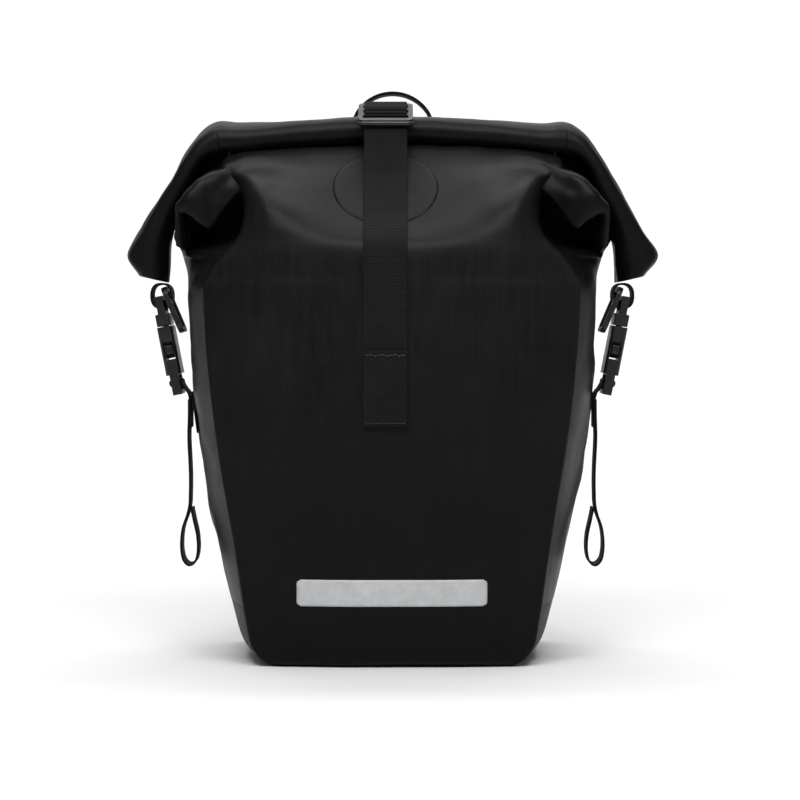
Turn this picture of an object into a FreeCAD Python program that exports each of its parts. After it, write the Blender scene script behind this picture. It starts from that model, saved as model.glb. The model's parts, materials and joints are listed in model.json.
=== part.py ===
import FreeCAD, Part
import math
import os
import re

import Sketcher

# Roll-top pannier bag for a bicycle rack, in millimetres.
# X runs to the right seen from the front, Y towards the rack, Z up.
# The origin is the middle of the flat base.

doc = FreeCAD.newDocument("PannierBag")

SIZES = {
    # bag envelope
    "shoulder_high": 325,
    "shoulder_wide": 320,
    "base_wide": 226,
    "side_bulge": 13,
    "front_inset": 20,
    "back_inset": 8,
    "corner_round": 20,
    "front_seam": 72,
    "front_bulge": 17,
    "back_face": 82,
    "back_top": "=shoulder_high + 20",
    "mouth_high": "=shoulder_high + 68.6",
    "mouth_front_wide": "=shoulder_wide - 108",
    "mouth_side_wide": "=shoulder_wide - 76",
    "mouth_front": 12,
    "mouth_back": 41,
    "boot_high": 47,
    "cloth": 1.2,
    "seam_gap": 0.25,
    "layer_gap": 0.3,
    # rolled closure and its folded ends
    "roll_long": "=shoulder_wide - 46",
    "roll_deep": 56,
    "roll_thick": 23,
    "roll_middle": 15,
    "stiffener_deep": 40,
    "stiffener_thick": 1.6,
    "tail_out": "=shoulder_wide / 2 + 45",
    "tail_low": "=shoulder_high - 36",
    # webbing
    "webbing": 1.6,
    "strap_wide": 33,
    "strap_shift": -5,
    "strap_end": "=shoulder_high - 144",
    "side_webbing_wide": 25,
    "patch_wide": 80,
    # centre ladder lock
    "lock_wide": 42,
    "lock_long": 30,
    "lock_thick": 5,
    "lock_tilt": 30,
    # inner plate
    "plate_thick": 2,
    "plate_high": "=shoulder_high - 29",
    "plate_low": 22,
    "plate_top_wide": "=shoulder_wide - 36",
    "plate_base_wide": "=base_wide - 30",
    # upper rail, hooks and latches
    "rail_long": "=shoulder_wide - 52",
    "rail_high": 30,
    "rail_thick": 6,
    "rail_mid": "=shoulder_high - 9",
    "hook_spread": 160,
    "hook_wide": 24,
    "hook_wall": 5,
    "hook_seat": 10.5,
    "hook_drop": 32,
    "hook_rise": 22,
    "tube_radius": 8,
    "tube_high": "=rail_mid + 18",
    "liner_gap": 0.05,
    "pin_radius": 2,
    "pin_rise": 16.5,
    "pin_gap": 0.06,
    "cheek_thick": 3,
    "cheek_gap": 0.3,
    "finger_radius": 3,
    "eye_out": 21,
    "eye_rise": 10,
    # fasteners
    "screw_radius": 2.5,
    "screw_gap": 0.15,
    "head_radius": 4.6,
    "head_thick": 2.6,
    "washer_radius": 7,
    "washer_thick": 1,
    "nut_across": 8,
    "nut_thick": 4,
    "rail_screw_spread": "=rail_long - 28",
    # carrying handle
    "handle_wide": 22,
    "handle_thick": 2.4,
    "handle_top": "=shoulder_high + 119",
    "handle_round": 37,
    "handle_middle": 105,
    # lower rail, carriage and hook
    "track_mid": 110,
    "track_long": 200,
    "track_high": 22,
    "track_thick": 3,
    "track_stand": 4,
    "foot_long": 15,
    "carriage_wide": 24,
    "carriage_wall": 3.4,
    "slide_gap": 0.3,
    "swivel_radius": 3,
    "claw_thick": 5,
    "claw_reach": 13,
    "claw_drop": 40,
    # side buckles
    "buckle_out": "=shoulder_wide / 2 + 15",
    "buckle_mid": "=shoulder_high - 82",
    "buckle_lean": 11,
    "shell_wide": 32,
    "shell_thick": 12,
    "shell_top": 12,
    "shell_low": -26,
    "cavity_wide": 26,
    "cavity_thick": 8,
    "cavity_deep": 28,
    "window_top": 0,
    "window_low": -14,
    "ladder_low": -42,
    "ladder_thick": 7,
    "plug_top": 22,
    "crossbar_top": 36,
    "plug_wide": 30,
    "plug_gap": 0.6,
    "prong_in": 8,
    "prong_out": 11.5,
    "prong_head": 15.2,
    "prong_thick": 6,
    "ring_out": "=buckle_out + 2.5",
    "ring_high": "=buckle_mid + 40.5",
    "ring_lean": 23,
    "ring_long": 38,
    "ring_wide": 37,
    "ring_bar": 4,
    # side straps
    "anchor_low": "=shoulder_high - 153",
    "anchor_top": "=anchor_low + 32",
    "anchor_wide": 34,
    "loop_top": 113,
    "loop_low": 67,
    "loop_wide": 15,
    "label_wide": 142,
    "label_low": 47,
    "label_high": 20,
}

sheet = doc.addObject("Spreadsheet::Sheet", "Sizes")
for row, (word, value) in enumerate(SIZES.items(), start=1):
    sheet.set("A%d" % row, word)
    sheet.set("B%d" % row, str(value))
    sheet.setAlias("B%d" % row, word)
doc.recompute()


def size(word):
    """The value of one named size in the sheet."""
    return float(sheet.get(word))


def bind(text):
    """Turn the size names in a formula into references to the sheet."""

    def referred(found):
        word = found.group(0)
        return "Sizes." + word if word in SIZES else word

    return re.sub(r"[a-z][a-z_]+", referred, text)


# ---------------------------------------------------------------- sketch helpers


def new_body(label):
    body = doc.addObject("PartDesign::Body", label)
    body.Label = label
    return body


def place(body, x="0", y="0", z="0", axis=(0, 1, 0), angle="0"):
    """Put a body where its formulas say, turned about one axis."""
    body.Placement = FreeCAD.Placement(FreeCAD.Vector(), FreeCAD.Rotation(FreeCAD.Vector(*axis), 1))
    body.setExpression("Placement.Rotation.Angle", bind(angle))
    body.setExpression("Placement.Base.x", bind(x))
    body.setExpression("Placement.Base.y", bind(y))
    body.setExpression("Placement.Base.z", bind(z))


def sketch_on(body, plane, lift):
    sketch = body.newObject("Sketcher::SketchObject", "Outline")
    origin = [o for o in body.Origin.OriginFeatures if o.Role == plane + "_Plane"][0]
    sketch.AttachmentSupport = [(origin, "")]
    sketch.MapMode = "FlatFace"
    sketch.setExpression("AttachmentOffset.Base.z", bind(lift))
    return sketch


def pin_point(sketch, geometry, end, across, up):
    """Hold one sketch point at its formulas."""
    for kind, formula in (("DistanceX", across), ("DistanceY", up)):
        index = sketch.addConstraint(Sketcher.Constraint(kind, -1, 1, geometry, end, 5.0))
        sketch.setExpression("Constraints[%d]" % index, bind(formula))


def polygon(body, plane, points, lift="0"):
    """A closed outline whose corners are (across, up) formulas."""
    sketch = sketch_on(body, plane, lift)
    count = len(points)
    ring = []
    for i in range(count):
        turn = 2 * math.pi * i / count
        ring.append(FreeCAD.Vector(10 * math.cos(turn), 10 * math.sin(turn), 0))
    for i in range(count):
        sketch.addGeometry(Part.LineSegment(ring[i], ring[(i + 1) % count]))
    for i in range(count):
        sketch.addConstraint(Sketcher.Constraint("Coincident", i, 2, (i + 1) % count, 1))
    for i, (across, up) in enumerate(points):
        pin_point(sketch, i, 1, across, up)
    return sketch


def rectangle(body, plane, left, right, low, top, lift="0"):
    corners = [(left, low), (right, low), (right, top), (left, top)]
    return polygon(body, plane, corners, lift)


def circles(body, plane, centres, radius, lift="0"):
    sketch = sketch_on(body, plane, lift)
    for i, (across, up) in enumerate(centres):
        centre = FreeCAD.Vector(20 * i, 0, 0)
        sketch.addGeometry(Part.Circle(centre, FreeCAD.Vector(0, 0, 1), 2))
        pin_point(sketch, i, 3, across, up)
        index = sketch.addConstraint(Sketcher.Constraint("Radius", i, 2.0))
        sketch.setExpression("Constraints[%d]" % index, bind(radius))
    return sketch


def pad(body, sketch, length, midplane=False):
    feature = body.newObject("PartDesign::Pad", "Pad")
    feature.Profile = sketch
    feature.Midplane = midplane
    feature.setExpression("Length", bind(length))
    sketch.Visibility = False
    return feature


def pocket(body, sketch, length, midplane=False):
    feature = body.newObject("PartDesign::Pocket", "Pocket")
    feature.Profile = sketch
    feature.Midplane = midplane
    feature.setExpression("Length", bind(length))
    sketch.Visibility = False
    return feature


def round_edges(body, radius, wanted):
    """Fillet the edges of the finished features that wanted(edge) picks."""
    doc.recompute()
    base = body.Tip
    names = ["Edge%d" % (i + 1) for i, edge in enumerate(base.Shape.Edges) if wanted(edge)]
    feature = body.newObject("PartDesign::Fillet", "Round")
    feature.Base = (base, names)
    feature.setExpression("Radius", bind(radius))
    return feature


def runs_along(axis):
    """Tests for a straight edge parallel to X, Y or Z (0, 1 or 2)."""

    def wanted(edge):
        if edge.Curve.TypeId != "Part::GeomLine":
            return False
        start = edge.Vertexes[0].Point
        end = edge.Vertexes[-1].Point
        return abs(abs(end[axis] - start[axis]) - edge.Length) < 1e-6

    return wanted


def soft(label, shape):
    """A sewn or bent cloth piece, whose outline follows the bag envelope."""
    piece = doc.addObject("Part::Feature", label)
    piece.Label = label
    piece.Shape = shape
    return piece


# ---------------------------------------------------------------- bag envelope

CLOTH = size("cloth")
GAP = size("seam_gap")
SHOULDER = size("shoulder_high")
BACK_TOP = size("back_top")
MOUTH = size("mouth_high")
SIDE_MIDDLE = 5.0


def blend(low, high, share):
    return low + (high - low) * share


def wall_half(high):
    """Half width of the bag at its widest, below the shoulder."""
    share = high / SHOULDER
    taper = blend(size("base_wide") / 2, size("shoulder_wide") / 2, share)
    bulge = 4 * size("side_bulge") * share * (1 - share)
    radius = size("corner_round")
    tuck = 0.0
    if high < radius:
        tuck = radius - math.sqrt(radius ** 2 - (radius - high) ** 2)
    return taper + bulge - tuck


def roof_share(high):
    return max(0.0, (high - SHOULDER) / (MOUTH - SHOULDER))


def back_share(high):
    return max(0.0, (high - BACK_TOP) / (MOUTH - BACK_TOP))


def side_half(high):
    return blend(wall_half(min(high, SHOULDER)), size("mouth_side_wide") / 2, roof_share(high))


def front_half(high):
    inset = size("front_inset") * (0.5 + 0.5 * min(1.0, high / 100))
    below = wall_half(min(high, SHOULDER)) - inset
    return blend(below, size("mouth_front_wide") / 2, roof_share(high))


def back_half(high):
    below = wall_half(min(high, SHOULDER)) - size("back_inset")
    return blend(below, size("mouth_front_wide") / 2, roof_share(high))


def front_line(high):
    return blend(-size("front_seam"), -size("mouth_front"), roof_share(high))


def back_line(high):
    return blend(size("back_face"), size("mouth_back"), back_share(high))


def front_bulge(high):
    swell = size("front_bulge") * min(1.0, 0.4 + 0.6 * high / 60)
    return blend(swell, 5.0, roof_share(high))


LEVELS = [blend(size("boot_high"), SHOULDER, share) for share in (0.2, 0.4, 0.6, 0.8)]
BASE_LEVELS = [0, 3, 8, 20, size("boot_high")]
ROOF_LEVELS = [SHOULDER, BACK_TOP, MOUTH]


def closed_loft(wires):
    return Part.makeLoft(wires, True, True)


def thin_wire(outer, inner):
    """A closed wire round a thin slice, from two edges run in the same sense."""
    first = Part.makeLine(outer[-1], inner[-1])
    last = Part.makeLine(inner[0], outer[0])
    return Part.Wire([Part.Arc(*outer).toShape(), first, Part.Arc(*inner[::-1]).toShape(), last])


def front_slice(high, near, far):
    half = front_half(high)
    line = front_line(high)
    middle = line - front_bulge(high)
    outer = [
        FreeCAD.Vector(-half, line - far, high),
        FreeCAD.Vector(0, middle - far, high),
        FreeCAD.Vector(half, line - far, high),
    ]
    inner = [point + FreeCAD.Vector(0, far - near, 0) for point in outer]
    return thin_wire(outer, inner)


def front_shell(near, far):
    """The front face as a sheet between two distances outside the seam line."""
    heights = BASE_LEVELS + LEVELS + ROOF_LEVELS
    return closed_loft([front_slice(high, near, far) for high in heights])


def side_slice(side, high, near, far):
    front = front_line(high) + CLOTH + GAP
    back = back_line(high) - CLOTH - GAP
    middle = blend(SIDE_MIDDLE, (front + back) / 2, roof_share(high))
    outer = [
        FreeCAD.Vector(side * (front_half(high) + far), front, high),
        FreeCAD.Vector(side * (side_half(high) + far), middle, high),
        FreeCAD.Vector(side * (back_half(high) + far), back, high),
    ]
    inner = [point + FreeCAD.Vector(side * (near - far), 0, 0) for point in outer]
    return thin_wire(outer, inner)


def gusset_shell(side, near, far):
    heights = [size("boot_high") + GAP] + LEVELS + [SHOULDER]
    return closed_loft([side_slice(side, high, near, far) for high in heights])


soft("front_panel", front_shell(-CLOTH, 0))
for name, side in (("left_gusset", -1), ("right_gusset", 1)):
    soft(name, gusset_shell(side, -CLOTH, 0))
for name, side in (("left_gusset_fold", -1), ("right_gusset_fold", 1)):
    roof = [side_slice(side, high, -CLOTH, 0) for high in (SHOULDER + GAP, BACK_TOP, MOUTH)]
    soft(name, closed_loft(roof))


BASE_TRIM = 0.4


def boot_wire(line, half_at):
    """The bottom panel's slice: up one side, across the base and up the other."""
    heights = [size("boot_high"), 33, 20, 12, 6, 2]
    right = [(half_at(high), high) for high in heights] + [(half_at(0), -BASE_TRIM)]
    outer = [(-half, high) for half, high in right] + right[::-1]
    inner = []
    for i, (across, high) in enumerate(outer):
        before = outer[max(i - 1, 0)]
        after = outer[min(i + 1, len(outer) - 1)]
        run = (after[0] - before[0], after[1] - before[1])
        reach = math.hypot(*run)
        inner.append((across - run[1] / reach * CLOTH, high + run[0] / reach * CLOTH))
    ends = [0, len(outer) - 1]
    for i in ends:
        inner[i] = (inner[i][0], outer[i][1])
    loop = [FreeCAD.Vector(x, line, z) for x, z in outer + inner[::-1]]
    return Part.makePolygon(loop + [loop[0]])


boot = closed_loft([
    boot_wire(-size("front_seam") + CLOTH + GAP, front_half),
    boot_wire(SIDE_MIDDLE, wall_half),
    boot_wire(size("back_face") - CLOTH - GAP, back_half),
])
ground = Part.makeBox(600, 600, 20, FreeCAD.Vector(-300, -300, -20))
soft("bottom_panel", boot.cut(ground))


def back_slice(high):
    half = back_half(high)
    outer = back_line(high)
    inner = outer - CLOTH
    corners = [(-half, outer), (half, outer), (half, inner), (-half, inner)]
    loop = [FreeCAD.Vector(x, y, high) for x, y in corners]
    return Part.makePolygon(loop + [loop[0]])


def through_bolt(x, z):
    """A clearance hole along Y at one rail or track fixing."""
    radius = size("screw_radius") + size("screw_gap")
    return Part.makeCylinder(radius, 60, FreeCAD.Vector(x, 60, z), FreeCAD.Vector(0, 1, 0))


FIXINGS = []
for across, up in (
    (size("rail_screw_spread") / 2, size("rail_mid")),
    (size("hook_spread") / 2, size("rail_mid") - 6),
    (size("track_long") / 2 - size("foot_long") / 2, size("track_mid")),
):
    FIXINGS += [(-across, up), (across, up)]

back = closed_loft([back_slice(high) for high in BASE_LEVELS + LEVELS + ROOF_LEVELS])
soft("back_panel", back.cut(Part.makeCompound([through_bolt(x, z) for x, z in FIXINGS])))

# ---------------------------------------------------------------- rolled closure

ROLL_HIGH = "(mouth_high + layer_gap + roll_thick / 2)"

roll = new_body("roll_closure")
place(roll, y="roll_middle", z=ROLL_HIGH)
slab = rectangle(roll, "YZ", "-roll_deep / 2", "roll_deep / 2", "-roll_thick / 2", "roll_thick / 2")
pad(roll, slab, "roll_long", midplane=True)
round_edges(roll, "roll_thick / 2 - 0.5", runs_along(0))
slot = rectangle(
    roll, "YZ",
    "-stiffener_deep / 2 - 0.1", "stiffener_deep / 2 + 0.1",
    "-stiffener_thick / 2 - 0.1", "stiffener_thick / 2 + 0.1",
)
pocket(roll, slot, "roll_long + 2", midplane=True)

strip = new_body("roll_stiffener")
place(strip, y="roll_middle", z=ROLL_HIGH)
face = rectangle(
    strip, "YZ",
    "-stiffener_deep / 2", "stiffener_deep / 2",
    "-stiffener_thick / 2", "stiffener_thick / 2",
)
pad(strip, face, "roll_long - 2", midplane=True)

for name, side in (("left_tail", "-1"), ("right_tail", "1")):
    tail = new_body(name)
    place(tail, y="roll_middle")
    crest = "(mouth_high + layer_gap + roll_thick)"
    root = "(roll_long / 2 + seam_gap)"
    corners = [
        (root, crest + " - 2"),
        ("roll_long / 2 + 8", crest + " - 11"),
        ("tail_out", "tail_low + 25"),
        ("tail_out - 15", "tail_low"),
        ("tail_out - 30", "tail_low + 1"),
        ("tail_out - 32.5", "tail_low + 40"),
        ("tail_out - 45", "tail_low + 74"),
        ("roll_long / 2 + 7", crest + " - 32"),
        (root, crest + " - 20"),
    ]
    face = polygon(tail, "XZ", [(side + " * (" + x + ")", z) for x, z in corners])
    pad(tail, face, "roll_deep + 2", midplane=True)

# ---------------------------------------------------------------- cloth patches and straps

WEB = size("webbing")
STRAP_X = size("strap_shift")
STRAP_HALF = size("strap_wide") / 2
PATCH = CLOTH + 0.1

slope = FreeCAD.Vector(0, size("mouth_front") - size("front_seam"), SHOULDER - MOUTH)
slope_out = FreeCAD.Vector(0, slope.z, -slope.y).normalize()
slope_middle = FreeCAD.Vector(
    STRAP_X,
    blend(front_line(SHOULDER) - front_bulge(SHOULDER), front_line(MOUTH) - front_bulge(MOUTH), 0.5),
    blend(SHOULDER, MOUTH, 0.5),
)
disc = Part.makeCylinder(size("patch_wide") / 2, 24, slope_middle - slope_out * 12, slope_out)
soft("strap_patch", front_shell(0.1, PATCH).common(disc))

label = Part.makeBox(
    size("label_wide"), 60, size("label_high"),
    FreeCAD.Vector(-size("label_wide") / 2, -130, size("label_low")),
)
soft("reflective_strip", front_shell(0.1, 0.8).common(label))


def band(path, left, right, thick):
    """Webbing with constant width along X that follows a (y, z) path."""
    points = [FreeCAD.Vector(0, y, z) for y, z in path]
    wires = []
    for i, point in enumerate(points):
        run = points[min(i + 1, len(points) - 1)] - points[max(i - 1, 0)]
        run.normalize()
        out = FreeCAD.Vector(0, run.z, -run.y) * (thick / 2)
        corners = [point - out, point + out, point + out, point - out]
        sides = [left, left, right, right]
        loop = [FreeCAD.Vector(x, c.y, c.z) for x, c in zip(sides, corners)]
        wires.append(Part.makePolygon(loop + [loop[0]]))
    return closed_loft(wires)


def eyelet(radius, thick, left, right, y, z):
    """Webbing sewn back on itself round a bar that runs along X."""
    along = FreeCAD.Vector(1, 0, 0)
    start = FreeCAD.Vector(left, y, z)
    outer = Part.makeCylinder(radius + thick, right - left, start, along)
    return outer.cut(Part.makeCylinder(radius, right - left, start, along))


LOCK_TILT = math.radians(size("lock_tilt"))
ROLL_TOP = MOUTH + size("layer_gap") + size("roll_thick")
LOCK_Y = size("roll_middle") - size("roll_deep") / 2 - 0.4
LOCK_Z = ROLL_TOP + 1.2


def on_lock(along, under=0.0):
    """World (y, z) of a point along the ladder lock, or some way under it."""
    y = LOCK_Y + along * math.cos(LOCK_TILT) + under * math.sin(LOCK_TILT)
    z = LOCK_Z + along * math.sin(LOCK_TILT) - under * math.cos(LOCK_TILT)
    return (y, z)


TOP_BAR = size("lock_long") / 2 - 2
MIDDLE_BAR = -4.0
EYE = size("lock_thick") / 2 + 0.9

left_edge = STRAP_X - STRAP_HALF
right_edge = STRAP_X + STRAP_HALF
hang = Part.makeBox(
    2 * STRAP_HALF, 130, MOUTH - 2 - size("strap_end"),
    FreeCAD.Vector(left_edge, -125, size("strap_end")),
)
rise_y = front_line(MOUTH - 4) - front_bulge(MOUTH - 4) - PATCH - WEB / 2 - 1.0
lower_eye_y, lower_eye_z = on_lock(MIDDLE_BAR)
under_lock = EYE + WEB / 2
rise = band(
    [
        (rise_y, MOUTH - 6),
        (rise_y, MOUTH + 5),
        on_lock(-size("lock_long") / 2 - 2, under_lock),
        on_lock(MIDDLE_BAR, under_lock),
    ],
    left_edge, right_edge, WEB,
)
lower_eye = eyelet(EYE, WEB, left_edge, right_edge, lower_eye_y, lower_eye_z)
hanging = front_shell(PATCH + 0.2, PATCH + 0.2 + WEB * 1.4).common(hang)
soft("centre_strap", hanging.fuse(rise).fuse(lower_eye).removeSplitter())

upper_eye_y, upper_eye_z = on_lock(TOP_BAR)
roll_back = size("roll_middle") + size("roll_deep") / 2 + WEB / 2 + 0.5
over = band(
    [
        (back_line(MOUTH - 10) + WEB * 1.5, MOUTH - 10),
        (roll_back + 0.6, MOUTH + 3),
        (roll_back, ROLL_TOP - 7),
        (roll_back - 3, ROLL_TOP - 1.5),
        (roll_back - 9, ROLL_TOP + WEB / 2 + 0.4),
        (upper_eye_y + 14, ROLL_TOP + WEB / 2 + 1.6),
        (upper_eye_y + EYE, upper_eye_z + 2),
    ],
    left_edge, right_edge, WEB,
)
upper_eye = eyelet(EYE, WEB, left_edge, right_edge, upper_eye_y, upper_eye_z)
soft("buckle_webbing", over.fuse(upper_eye).removeSplitter())

lock = new_body("ladder_lock")
lock_y = str(round(LOCK_Y, 3))
lock_z = str(round(LOCK_Z, 3))
place(lock, x="strap_shift", y=lock_y, z=lock_z, axis=(1, 0, 0), angle="lock_tilt")
frame = rectangle(lock, "XY", "-lock_wide / 2", "lock_wide / 2", "-lock_long / 2", "lock_long / 2")
pad(lock, frame, "lock_thick", midplane=True)
round_edges(lock, "4", runs_along(2))
for low, top in (("lock_long / 2 - 8", "lock_long / 2 - 3.8"), ("-2", "3"), ("-11", "-6")):
    opening = rectangle(lock, "XY", "-strap_wide / 2 - 0.8", "strap_wide / 2 + 0.8", low, top)
    pocket(lock, opening, "lock_thick + 2", midplane=True)

# ---------------------------------------------------------------- inner plate and upper rail


def drill(body, fixings, radius="screw_radius + screw_gap"):
    """Cut the clearance holes, which run along Y, through a plate."""
    holes = circles(body, "XZ", fixings, radius)
    pocket(body, holes, "600", midplane=True)


HOOK_SPOTS = [("-hook_spread / 2", "rail_mid - 6"), ("hook_spread / 2", "rail_mid - 6")]
RAIL_SPOTS = [("-rail_screw_spread / 2", "rail_mid"), ("rail_screw_spread / 2", "rail_mid")]
TRACK_SPOTS = [
    ("-track_long / 2 + foot_long / 2", "track_mid"),
    ("track_long / 2 - foot_long / 2", "track_mid"),
]

plate = new_body("back_plate")
shape = polygon(plate, "XZ", [
    ("-plate_base_wide / 2", "plate_low"),
    ("plate_base_wide / 2", "plate_low"),
    ("plate_top_wide / 2", "plate_low + plate_high"),
    ("-plate_top_wide / 2", "plate_low + plate_high"),
], lift="-(back_face - cloth - 0.1)")
pad(plate, shape, "plate_thick")
drill(plate, RAIL_SPOTS + HOOK_SPOTS + TRACK_SPOTS)

rail = new_body("upper_rail")
bar = rectangle(
    rail, "XZ",
    "-rail_long / 2", "rail_long / 2", "rail_mid - rail_high / 2", "rail_mid + rail_high / 2",
    lift="-(back_face + rail_thick)",
)
pad(rail, bar, "rail_thick")
round_edges(rail, "6", runs_along(1))
drill(rail, RAIL_SPOTS + HOOK_SPOTS)


def fasteners(label, spots, seat, reach):
    """Round-headed screws along Y: the head sits on seat, the shank points to the bag."""
    body = new_body(label)
    shanks = circles(body, "XZ", spots, "screw_radius", lift="-(" + seat + ")")
    pad(body, shanks, reach)
    heads = circles(body, "XZ", spots, "head_radius", lift="-(" + seat + " + head_thick)")
    pad(body, heads, "head_thick")
    return body


INSIDE = "(back_face - cloth - 0.1 - plate_thick)"
STACK = "(cloth + 0.1 + plate_thick + washer_thick + nut_thick + 1)"
fasteners("rail_screws", RAIL_SPOTS, "back_face + rail_thick", "rail_thick + " + STACK)
fasteners("hook_screws", HOOK_SPOTS, "back_face + rail_thick + hook_wall",
          "rail_thick + hook_wall + " + STACK)
fasteners("track_screws", TRACK_SPOTS, "back_face + track_stand + track_thick",
          "track_thick + track_stand + " + STACK)

washers = new_body("washers")
pad(washers, circles(washers, "XZ", RAIL_SPOTS + HOOK_SPOTS + TRACK_SPOTS, "washer_radius",
                     lift="-" + INSIDE), "washer_thick")
drill(washers, RAIL_SPOTS + HOOK_SPOTS + TRACK_SPOTS)

nuts = new_body("nuts")
for across, up in RAIL_SPOTS + HOOK_SPOTS + TRACK_SPOTS:
    hexagon = []
    for i in range(6):
        turn = math.radians(60 * i)
        corner_x = " + nut_across / sqrt(3) * %.6f" % math.cos(turn)
        corner_z = " + nut_across / sqrt(3) * %.6f" % math.sin(turn)
        hexagon.append((across + corner_x, up + corner_z))
    pad(nuts, polygon(nuts, "XZ", hexagon, lift="-(" + INSIDE + " - washer_thick)"), "nut_thick")
drill(nuts, RAIL_SPOTS + HOOK_SPOTS + TRACK_SPOTS, "screw_radius + 0.02")

# ---------------------------------------------------------------- hooks and latches

TUBE_Y = "(back_face + rail_thick + hook_wall + hook_seat)"

for name, side in (("left", "-1"), ("right", "1")):
    spot = side + " * hook_spread / 2"

    hook = new_body(name + "_hook")
    place(hook, x=spot, y=TUBE_Y, z="tube_high")
    near = "-hook_seat - hook_wall"
    far = "hook_seat + hook_wall"
    outline = polygon(hook, "YZ", [
        (near, "-hook_drop"),
        ("-hook_seat", "-hook_drop"),
        ("-hook_seat", "0"),
        (far, "0"),
        (far, "hook_rise"),
        (near, "hook_rise"),
    ])
    pad(hook, outline, "hook_wide", midplane=True)
    pocket(hook, circles(hook, "YZ", [("0", "0")], "hook_seat"), "hook_wide + 2", midplane=True)
    reach = size("hook_seat") + size("hook_wall")

    def top_corner(edge, reach=reach):
        middle = edge.CenterOfMass
        return runs_along(0)(edge) and abs(abs(middle.y) - reach) < 0.01 and middle.z > 5

    round_edges(hook, "9", top_corner)
    pin_bore = circles(hook, "YZ", [("0", "pin_rise")], "pin_radius + pin_gap / 2")
    pocket(hook, pin_bore, "hook_wide + 2", midplane=True)
    bolt = circles(hook, "XZ", [("0", "rail_mid - 6 - tube_high")], "screw_radius + screw_gap")
    pocket(hook, bolt, "60", midplane=True)

    liner = new_body(name + "_hook_liner")
    place(liner, x=spot, y=TUBE_Y, z="tube_high")
    pad(liner, circles(liner, "YZ", [("0", "0")], "hook_seat - liner_gap"), "hook_wide", midplane=True)
    pocket(liner, circles(liner, "YZ", [("0", "0")], "tube_radius"), "hook_wide + 2", midplane=True)
    lower = rectangle(liner, "YZ", "-hook_seat - 2", "hook_seat + 2", "-hook_seat - 2", "0")
    pocket(liner, lower, "hook_wide + 2", midplane=True)

    latch = new_body(name + "_latch")
    place(latch, x=spot, y=TUBE_Y, z="tube_high")
    span = "(hook_wide + 2 * cheek_gap)"
    over_all = "(" + span + " + 2 * cheek_thick)"
    pad(latch, circles(latch, "YZ", [("3", "-12.2")], "finger_radius"), over_all, midplane=True)
    cheek = [
        ("-4.5", "pin_rise - 3"), ("4", "13"), ("10", "7"), ("9.8", "-3"),
        ("5.5", "-9"), ("0", "-9.4"), ("-0.5", "-15.5"), ("8", "-16"),
        ("17", "-3"), ("25", "eye_rise - 3"), ("25", "eye_rise + 3.5"), ("eye_out - 3", "eye_rise + 4"),
        ("9", "pin_rise + 4.5"), ("-3", "pin_rise + 4.5"),
    ]
    pad(latch, polygon(latch, "YZ", cheek, lift=span + " / 2"), "cheek_thick")
    pad(latch, polygon(latch, "YZ", cheek, lift="-" + over_all + " / 2"), "cheek_thick")
    pad(latch, circles(latch, "YZ", [("eye_out", "eye_rise")], "pin_radius"), over_all, midplane=True)
    bore = circles(latch, "YZ", [("0", "pin_rise")], "pin_radius + pin_gap")
    pocket(latch, bore, over_all + " + 2", midplane=True)

    pin = new_body(name + "_latch_pin")
    place(pin, x=spot, y=TUBE_Y, z="tube_high + pin_rise")
    pad(pin, circles(pin, "YZ", [("0", "0")], "pin_radius"), over_all + " + 1", midplane=True)
    head = circles(pin, "YZ", [("0", "0")], "pin_radius + 1.2", lift=over_all + " / 2 + 0.3")
    pad(pin, head, "1.2")

# ---------------------------------------------------------------- carrying handle

HOOK_X = size("hook_spread") / 2
EYE_Y = size("back_face") + size("rail_thick") + size("hook_wall") + size("hook_seat") + size("eye_out")
EYE_Z = size("tube_high") + size("eye_rise")
EYE_GAP = size("pin_radius") + 1.3


def slice_of(centre, run, flat_turn):
    """One slice of handle webbing; flat_turn 0 lies flat on the back, 90 stands on edge."""
    run = FreeCAD.Vector(*run).normalize()
    depth = FreeCAD.Vector(0, 1, 0)
    across = depth.cross(run).normalize()
    depth = run.cross(across).normalize()
    turn = math.radians(flat_turn)
    wide = across * math.cos(turn) + depth * math.sin(turn)
    thick = across * -math.sin(turn) + depth * math.cos(turn)
    wide = wide * (size("handle_wide") / 2)
    thick = thick * (size("handle_thick") / 2)
    centre = FreeCAD.Vector(*centre)
    loop = [centre - wide - thick, centre + wide - thick, centre + wide + thick, centre - wide + thick]
    return Part.makePolygon(loop + [loop[0]])


def handle_half(side):
    """From the eye at one latch up to the crown of the handle."""
    crown = size("handle_top")
    bend = size("handle_round")
    middle_y = size("handle_middle")
    stations = [
        ((HOOK_X, EYE_Y, EYE_Z + EYE_GAP + 0.6), (0, 0, 1), 0),
        ((HOOK_X, EYE_Y, EYE_Z + 17), (-0.1, 0, 1), 0),
        ((HOOK_X - 6, EYE_Y - 4, EYE_Z + 31), (-0.6, -0.3, 1), 25),
        ((HOOK_X - 18, EYE_Y - 10, EYE_Z + 45), (-0.9, -0.35, 1), 50),
        ((bend + 13, middle_y + 4, crown - bend - 6), (-0.9, -0.3, 1), 72),
        ((bend + 4, middle_y + 1, crown - bend + 3), (-0.6, -0.1, 1), 86),
    ]
    for degrees in (-18, -36, -54, -72, -90):
        turn = math.radians(degrees)
        x = bend * math.cos(turn)
        z = crown - bend - bend * math.sin(turn)
        stations.append(((x, middle_y, z), (math.sin(turn), 0, math.cos(turn)), 90))
    wires = []
    for centre, run, turn in stations:
        placed = (side * centre[0], centre[1], centre[2])
        heading = (side * run[0], run[1], run[2])
        wires.append(slice_of(placed, heading, side * turn))
    return closed_loft(wires)


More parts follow.
